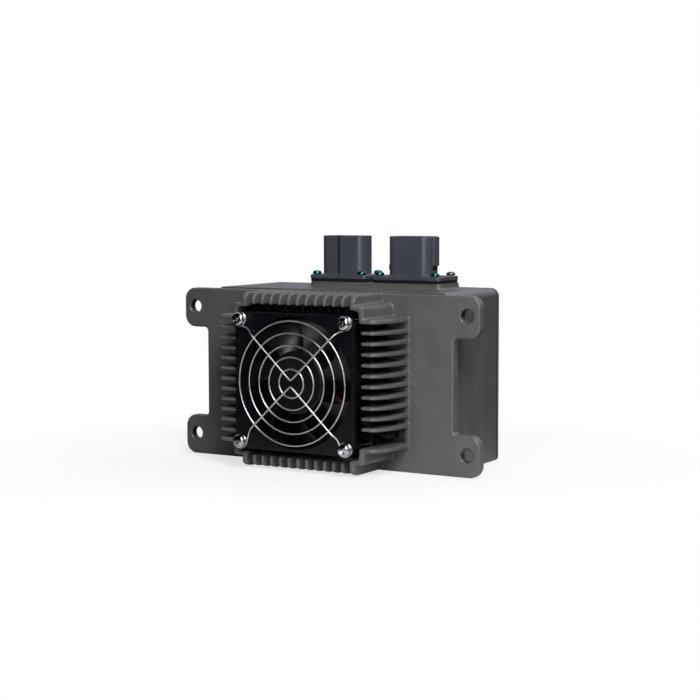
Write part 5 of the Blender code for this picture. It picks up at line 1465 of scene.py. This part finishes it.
def lead_path(side):
    along = Vector((math.cos(LEAD_STRUT_ANGLE), 0, math.sin(LEAD_STRUT_ANGLE)))
    across = Vector((-math.sin(LEAD_STRUT_ANGLE), 0, math.cos(LEAD_STRUT_ANGLE))) * side * LEAD_SPREAD
    height = LEAD_GROOVE_FLOOR + GAP + LEAD_RADIUS
    axis = FAN_AXIS + Vector((0, -height, 0))
    start = MOTOR_BASE_RADIUS - STRUT_TALL + GAP
    edge = FAN_SIZE / 2 / along.x
    x, z = GROMMET_PLACE
    down = Vector((x, 0, z)) + across
    corner = Vector((down.x, axis.y, down.z))
    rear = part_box("fan_lead_red")[1].y
    end = Vector((down.x, rear, down.z))
    corners = [axis + along * start + across, axis + along * edge + across, corner, end]
    return soft_path(corners, LEAD_RADIUS * 4)


def leads():
    for name, side, look in (("fan_lead_red", 1, RED_LEAD), ("fan_lead_black", -1, BLACK_LEAD)):
        piece(solid(f"{name}_sleeve", tube(lead_path(side), LEAD_RADIUS * 0.99, 12)), look, name, angle=70)


def grommet():
    """Rubber grommet with a lip on either side of the flange."""
    x, z = GROMMET_PLACE
    front, rear = GAP, -FLANGE_THICK - GAP
    ahead, behind = front + GROMMET_LIP_THICK, rear - GROMMET_LIP_THICK
    corners = [
        (GROMMET_BORE, behind, 0), (GROMMET_LIP, behind, GROMMET_LIP_ROUND), (GROMMET_LIP, rear, SLIGHT_EDGE),
        (GROMMET_NECK, rear, 0), (GROMMET_NECK, front, 0), (GROMMET_LIP, front, SLIGHT_EDGE),
        (GROMMET_LIP, ahead, GROMMET_LIP_ROUND), (GROMMET_BORE, ahead, 0),
    ]
    turn = Matrix.Translation((x, FLANGE_FRONT_Y, z)) @ FRONTWARD
    bm = turned(rounded_profile(corners), 48, turn)
    piece(solid("lead_grommet_rubber", bm), GROMMET_RUBBER, "lead_grommet")


# Sockets

def socket_screw_places(kind):
    socket = SOCKETS[kind]
    half = socket["screws"] / 2
    rows = (SOCKET_Y - PLATE_DEEP / 2 + SCREW_INSET, SOCKET_Y + PLATE_DEEP / 2 - SCREW_INSET)
    return [(socket["plate_x"] + side * half, y) for y in rows for side in (-1, 1)]


def plate_outline(kind, grow=0.0, steps=6):
    socket = SOCKETS[kind]
    half_x, half_y = socket["wide"] / 2 + grow, PLATE_DEEP / 2 + grow
    return about_socket(socket["plate_x"], half_x, half_y, PLATE_CORNER, steps)


def screw_holes(kind, low, high):
    radius = SOCKET_SCREW_RADIUS + PRESSED
    return gather([round_bar((x, y, low), (x, y, high), radius) for x, y in socket_screw_places(kind)])


def socket_body(kind):
    """Socket moulding with rounded rims, from the inner floor over the shell to the plug in the case."""
    socket = SOCKETS[kind]
    inner, shell, plug = [shell_outline(kind, inset) for inset in (SHELL_WALL, 0.0, PLUG_INSET)]
    plate = plate_outline(kind, 0.0, 8)
    loops = [along_z(shifted(inner, -SLIGHT_EDGE), SOCKET_FLOOR), along_z(inner, SOCKET_FLOOR + SLIGHT_EDGE)]
    for rise, fall in quarter_turns(3):
        loops.append(along_z(shifted(inner, EDGE * (1 - fall)), SHELL_TOP - EDGE * (1 - rise)))
    for rise, fall in quarter_turns(3):
        loops.append(along_z(shifted(shell, -EDGE * (1 - rise)), SHELL_TOP - EDGE * (1 - fall)))
    for rise, fall in quarter_turns(4):
        loops.append(along_z(shifted(shell, SHELL_FOOT * (1 - fall)), PLATE_TOP + SHELL_FOOT * (1 - rise)))
    for rise, fall in quarter_turns(3):
        loops.append(along_z(shifted(plate, -EDGE * (1 - rise)), PLATE_TOP - EDGE * (1 - fall)))
    loops += [along_z(plate, PLATE_LOW + EDGE / 2), along_z(shifted(plate, -EDGE / 2), PLATE_LOW)]
    loops += [along_z(plug, PLATE_LOW), along_z(plug, PLUG_BOTTOM + EDGE)]
    loops.append(along_z(shifted(plug, -EDGE), PLUG_BOTTOM))
    ob = solid(f"{kind}_socket_moulding", skin(loops))
    cut(ob, screw_holes(kind, PLATE_LOW - GAP, PLATE_TOP + GAP))
    low, high, radius = PLUG_BOTTOM - GAP, SOCKET_FLOOR + GAP, socket["pin_radius"] + PRESSED
    places = [socket["x"] + offset for offset in socket["pins"]]
    cut(ob, gather([round_bar((x, SOCKET_Y, low), (x, SOCKET_Y, high), radius) for x in places]))
    if kind == "input":
        key_groove(ob)
        piece(ob, KEYED_SHELL, "input_socket")
    else:
        latch_features(ob)
        piece(ob, SLATE_SHELL, "output_socket")


def key_groove(ob):
    """Rounded keyway down the front of the shell."""
    socket = SOCKETS["input"]
    offset, wide, deep = KEY_GROOVE
    x, front = socket["x"] + offset, SOCKET_Y - socket["shell"][1] / 2
    half = wide / 2
    outline = [
        (x - half - GAP, front - GAP), (x + half + GAP, front - GAP), (x + half, front + KEY_MOUTH),
        (x + half, front + deep * 0.6), (x + half / 2, front + deep), (x - half / 2, front + deep),
        (x - half, front + deep * 0.6), (x - half, front + KEY_MOUTH),
    ]
    cut(ob, skin([along_z(outline, PLATE_TOP + GAP), along_z(outline, SHELL_TOP + GAP)]))


def latch_features(ob):
    """Latch rib with a window on the right, and a small catch on the left."""
    socket = SOCKETS["output"]
    right, left = socket["x"] + socket["shell"][0] / 2, socket["x"] - socket["shell"][0] / 2
    window_low, window_high = PLATE_TOP + LATCH_WINDOW[0], PLATE_TOP + LATCH_WINDOW[1]
    half = LATCH_RIB_WIDE / 2
    middle = SOCKET_Y + LATCH_RIB_FROM + half
    low, high = (right - SHELL_WALL / 2, middle - half), (right + LATCH_RIB_PROUD, middle + half)
    outline = rounded_rectangle(low, high, LATCH_RIB_CORNER, 4)
    join(ob, slab(outline, along_z, window_high, SHELL_TOP - GAP, SLIGHT_EDGE, 3, SLIGHT_EDGE))
    low = (right - SHELL_WALL * 2, middle - half + GAP, window_low)
    high = (right + LATCH_RIB_PROUD * 2, middle + half - GAP, window_high)
    cut(ob, box(low, high))
    proud = LATCH_RIB_PROUD
    catch = rounded_polygon([
        (left + SHELL_WALL / 2, window_low, 0.0), (left - proud, window_low, EDGE),
        (left - proud, window_high, CATCH_ROUND), (left + SHELL_WALL / 2, window_high + CATCH_RAMP, 0.0),
    ], 4)
    front = SOCKET_Y - socket["shell"][1] / 2 + SHELL_CORNER
    join(ob, skin([along_y(catch, front), along_y(catch, front + LATCH_RIB_WIDE)]))


def wavy(outline, reach):
    """Outline of a squeezed seal, whose edge wanders a little."""
    moved = []
    for (a, b), (c, d) in zip(outline, shifted(outline, reach)):
        part = 0.5 + 0.35 * math.sin(a * 900 + b * 700) + 0.15 * math.sin(a * 2300 - b * 1900)
        moved.append((mix(a, c, part), mix(b, d, part)))
    return moved


def dense(outline, step=0.0016):
    """Outline with extra points on its long straight runs."""
    points = []
    for i, (a, b) in enumerate(outline):
        c, d = outline[(i + 1) % len(outline)]
        count = max(1, int(math.hypot(c - a, d - b) / step))
        points += [(mix(a, c, k / count), mix(b, d, k / count)) for k in range(count)]
    return points


def socket_seal(kind):
    """Flat seal under the socket's plate, with a soft outer edge."""
    low, high = BOSS_TOP + SEAL_CLEAR, PLATE_LOW - SEAL_CLEAR
    edge = dense(plate_outline(kind, -SLIGHT_EDGE))
    soft = wavy(edge, SEAL_WANDER)
    centre = Vector((SOCKETS[kind]["x"], SOCKET_Y))
    hole = []
    inner = shell_outline(kind, PLUG_INSET - GAP)
    half_x = max(p[0] for p in inner) - centre.x
    half_y = max(p[1] for p in inner) - centre.y
    for a, b in edge:
        away = Vector((a, b)) - centre
        scale = min(half_x / max(abs(away.x), 1e-6), half_y / max(abs(away.y), 1e-6))
        hole.append((centre.x + away.x * scale, centre.y + away.y * scale))
    third = (high - low) / 3
    loops = [
        along_z(shifted(soft, -SEAL_BULGE), low), along_z(soft, low + third), along_z(soft, high - third),
        along_z(shifted(soft, -SEAL_BULGE), high), along_z(hole, high), along_z(hole, low),
    ]
    ob = solid(f"{kind}_seal", skin(loops, ring=True))
    cut(ob, screw_holes(kind, low - GAP, high + GAP))
    piece(ob, SEAL_RUBBER, f"{kind}_gasket")


def socket_pins(kind):
    socket = SOCKETS[kind]
    radius = socket["pin_radius"]
    top, tail = SOCKET_FLOOR + PIN_RISE, PLUG_BOTTOM - PIN_TAIL
    corners = [
        (0, tail, 0), (PIN_TAIL_RADIUS, tail, SLIGHT_EDGE), (PIN_TAIL_RADIUS, PLUG_BOTTOM - GAP, 0),
        (radius, PLUG_BOTTOM, 0), (radius, top, radius * 0.7), (0, top, 0),
    ]
    for i, offset in enumerate(socket["pins"]):
        turn = Matrix.Translation((socket["x"] + offset, SOCKET_Y, 0))
        bm = turned(rounded_profile(corners, 6), 32, turn)
        piece(solid(f"{kind}_pin_{i + 1}_visual", bm), PIN_PLATE, f"{kind}_pin_{i + 1}")


housing()
rear_cover()
cover_gasket()
fan_frame()
fan_impeller()
finger_guard()
leads()
grommet()
all_screws()
fan_washers()
for kind in SOCKETS:
    socket_body(kind)
    socket_seal(kind)
    socket_pins(kind)


# CAD pieces that stay in view inside the case and the fan

def dress_inside(names, look):
    """Gives CAD pieces, which keep their shapes, their material."""
    for name in names:
        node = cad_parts[name]
        node.data.materials.clear()
        node.data.materials.append(look)


dress_inside(["main_board"], material(
    "green board lacquer", light=(0.030, 0.150, 0.065), dark=(0.018, 0.105, 0.042), rough=(0.30, 0.42),
    tone=120, grain=900, depth=0.00005, strength=0.30, marks=0.15))
dress_inside(["fan_circuit_board"], material(
    "fan board lacquer", light=(0.028, 0.140, 0.060), dark=(0.016, 0.098, 0.040), rough=(0.32, 0.44),
    tone=300, grain=1500, depth=0.00004, strength=0.30, marks=0.15))
dress_inside(["core_half_front", "core_half_rear"], material(
    "ferrite", light=(0.040, 0.040, 0.043), dark=(0.024, 0.024, 0.026), rough=(0.50, 0.66), tone=150,
    grain=1600, depth=0.00005, strength=0.35, marks=0.10))
dress_inside(["transformer_winding"], material(
    "enamelled winding", light=(0.60, 0.24, 0.10), dark=(0.42, 0.15, 0.06), rough=(0.28, 0.38),
    metallic=0.9, tone=90, grain=2000, depth=0.00012, strength=0.80, marks=0.10, coat=0.2,
    lines=(60.0, 2600.0, 60.0)))
dress_inside(["filter_choke"], material(
    "enamelled choke", light=(0.58, 0.23, 0.09), dark=(0.40, 0.15, 0.06), rough=(0.28, 0.38),
    metallic=0.9, tone=150, grain=1400, depth=0.00010, strength=0.60, marks=0.10, coat=0.2))
dress_inside(["smoothing_capacitor_1", "smoothing_capacitor_2"], material(
    "can sleeve", light=(0.026, 0.032, 0.062), dark=(0.016, 0.020, 0.042), rough=(0.26, 0.36), tone=90,
    grain=2200, depth=0.00003, strength=0.20, marks=0.10))
dress_inside(["power_transistor_1", "power_transistor_2"], material(
    "package resin", light=(0.022, 0.022, 0.023), dark=(0.012, 0.012, 0.013), rough=(0.44, 0.58),
    tone=150, grain=2200, depth=0.00004, strength=0.30, marks=0.10))
dress_inside([f"board_screw_{i + 1}" for i in range(4)], material(
    "board screw steel", light=(0.24, 0.24, 0.25), dark=(0.17, 0.17, 0.18), rough=(0.28, 0.40),
    metallic=1.0, tone=300, grain=3600, depth=0.00002, strength=0.25, marks=0.15))
dress_inside(["fan_shaft"], material(
    "ground shaft steel", light=(0.72, 0.72, 0.74), dark=(0.60, 0.60, 0.62), rough=(0.14, 0.22),
    metallic=1.0, tone=300, grain=3600, depth=0.00002, strength=0.25, marks=0.12,
    lines=(3200.0, 90.0, 3200.0)))
dress_inside(["fan_yoke"], material(
    "drawn yoke steel", light=(0.24, 0.24, 0.25), dark=(0.17, 0.17, 0.18), rough=(0.32, 0.44),
    metallic=1.0, tone=200, grain=2600, depth=0.00003, strength=0.30, marks=0.12))
dress_inside(["fan_magnet"], material(
    "pressed magnet", light=(0.042, 0.040, 0.040), dark=(0.026, 0.025, 0.025), rough=(0.52, 0.68),
    tone=200, grain=2000, depth=0.00004, strength=0.30, marks=0.10))
dress_inside(["fan_stator"], material(
    "stator winding", light=(0.56, 0.22, 0.09), dark=(0.40, 0.15, 0.06), rough=(0.30, 0.42), metallic=0.9,
    tone=200, grain=2400, depth=0.00006, strength=0.50, marks=0.10))
dress_inside(["fan_bearing_front", "fan_bearing_rear"], material(
    "bearing steel", light=(0.74, 0.74, 0.76), dark=(0.62, 0.62, 0.64), rough=(0.14, 0.22), metallic=1.0,
    tone=300, grain=3600, depth=0.00002, strength=0.20, marks=0.12))


# Studio

FLOOR_DROP = 0.0002
FLOOR_SIDES = 48
FLOOR_RINGS = (0.1, 0.3, 0.8, 2.5, 12.0)
FLOOR_TONE = (0.90, 0.90, 0.90, 1.0)
BOUNCE_MIDDLE = (0.07, -0.09, 0.0)
GLOW_TINT = (1.04, 1.02, 1.16, 1.0)
WHITE = (1.0, 1.0, 1.0, 1.0)
BLACK = (0.0, 0.0, 0.0, 1.0)
CAMERA_LENS = 85.75
CAMERA_PLACE = (0.5184, -0.8356, 0.1572)
CAMERA_AHEAD = (-0.5147, 0.8526, -0.0903)
CAMERA_ROLL = math.radians(-0.14)

# Each span: where a change starts and ends, and its values there
SHADOW_SPAN = (0.10, 0.24, 0.70, 1.0)
BOUNCE_SPAN = (0.10, 0.22, 0.80, 0.03)
GLOW_REAR_SPAN = (0.0, 0.4, 0.0, 0.95)
GLOW_HIGH_SPAN = (0.15, 0.45, 0.03, 1.0)


def floor_material():
    """Pale floor that takes the object's shadow near it and turns into plain white further away."""
    made = bpy.data.materials.new("studio floor")
    made.use_nodes = True
    tree = made.node_tree
    shader = tree.nodes["Principled BSDF"]
    shader.inputs["Roughness"].default_value = 0.8
    shader.inputs["Specular IOR Level"].default_value = 0.1
    place = object_place(tree)
    seen = tree.nodes.new("ShaderNodeLightPath").outputs["Is Camera Ray"]
    far = range_node(tree, vector_node(tree, "LENGTH", place), *SHADOW_SPAN)
    aside = vector_node(tree, "DISTANCE", place, BOUNCE_MIDDLE)
    bounce = range_node(tree, aside, *BOUNCE_SPAN)
    link(tree, colour_mix(tree, seen, bounce, FLOOR_TONE), shader.inputs["Base Color"])
    white = tree.nodes.new("ShaderNodeEmission")
    white.inputs["Color"].default_value = WHITE
    white.inputs["Strength"].default_value = 1.0
    blend = tree.nodes.new("ShaderNodeMixShader")
    link(tree, math_node(tree, "MULTIPLY", far, seen), blend.inputs["Fac"])
    link(tree, shader.outputs["BSDF"], blend.inputs[1])
    link(tree, white.outputs["Emission"], blend.inputs[2])
    link(tree, blend.outputs["Shader"], tree.nodes["Material Output"].inputs["Surface"])
    return made


def floor_mesh():
    """Wide round floor of rings about its middle."""
    bm = bmesh.new()
    centre = bm.verts.new((0, 0, 0))
    rows = []
    for radius in FLOOR_RINGS:
        ring = arc((0, 0), radius, 0, 360 - 360 / FLOOR_SIDES, FLOOR_SIDES - 1)
        rows.append([bm.verts.new((x, y, 0)) for x, y in ring])
    for i in range(FLOOR_SIDES):
        bm.faces.new((centre, rows[0][i], rows[0][(i + 1) % FLOOR_SIDES]))
    for inner, outer in zip(rows, rows[1:]):
        bridge(bm, outer, inner)
    bmesh.ops.recalc_face_normals(bm, faces=bm.faces)
    return bm


def studio_world():
    """White for the camera, and for the charger a soft glow from behind and above."""
    world = bpy.data.worlds.new("studio")
    bpy.context.scene.world = world
    world.use_nodes = True
    tree = world.node_tree
    axes = split_axes(tree, tree.nodes.new("ShaderNodeTexCoord").outputs["Generated"])
    rear = range_node(tree, axes["Y"], *GLOW_REAR_SPAN)
    high = range_node(tree, axes["Z"], *GLOW_HIGH_SPAN)
    glow = colour_mix(tree, math_node(tree, "MULTIPLY", rear, high), BLACK, GLOW_TINT)
    seen = tree.nodes.new("ShaderNodeLightPath").outputs["Is Camera Ray"]
    background = tree.nodes["Background"]
    background.inputs["Strength"].default_value = 1.0
    link(tree, colour_mix(tree, seen, glow, WHITE), background.inputs["Color"])


def soft_box(name, side, height, distance, size, power):
    """Square soft light aimed at the charger, turned right of its front and raised, both in degrees."""
    aim = Vector((0, 0, FAN_Z))
    turn, lift = math.radians(side), math.radians(height)
    away = Vector((math.cos(lift) * math.sin(turn), -math.cos(lift) * math.cos(turn), math.sin(lift)))
    light = bpy.data.lights.new(name, "AREA")
    light.size = size
    light.energy = power
    ob = bpy.data.objects.new(name, light)
    ob.location = aim + away * distance
    ob.rotation_euler = away.to_track_quat("Z", "Y").to_euler()
    bpy.context.scene.collection.objects.link(ob)


def set_camera():
    data = bpy.data.cameras.new("camera")
    data.lens = CAMERA_LENS
    data.sensor_width = 36.0
    data.clip_start = 0.01
    camera = bpy.data.objects.new("camera", data)
    bpy.context.scene.collection.objects.link(camera)
    ahead = Vector(CAMERA_AHEAD).normalized()
    right = ahead.cross(Vector((0, 0, 1))).normalized()
    view = Matrix((right, right.cross(ahead), -ahead)).transposed().to_4x4()
    view.translation = Vector(CAMERA_PLACE)
    camera.matrix_world = view @ Matrix.Rotation(CAMERA_ROLL, 4, "Z")
    bpy.context.scene.camera = camera


floor = solid("studio_floor", floor_mesh())
floor.location.z = -FLOOR_DROP
floor.data.materials.append(floor_material())
studio_world()
soft_box("key_light", side=48, height=47, distance=1.7, size=0.5, power=20.0)
soft_box("second_light", side=42, height=30, distance=1.7, size=0.5, power=4.0)
soft_box("front_light", side=27, height=18, distance=0.45, size=0.25, power=0.75)
set_camera()
bpy.context.scene.view_settings.view_transform = "Standard"
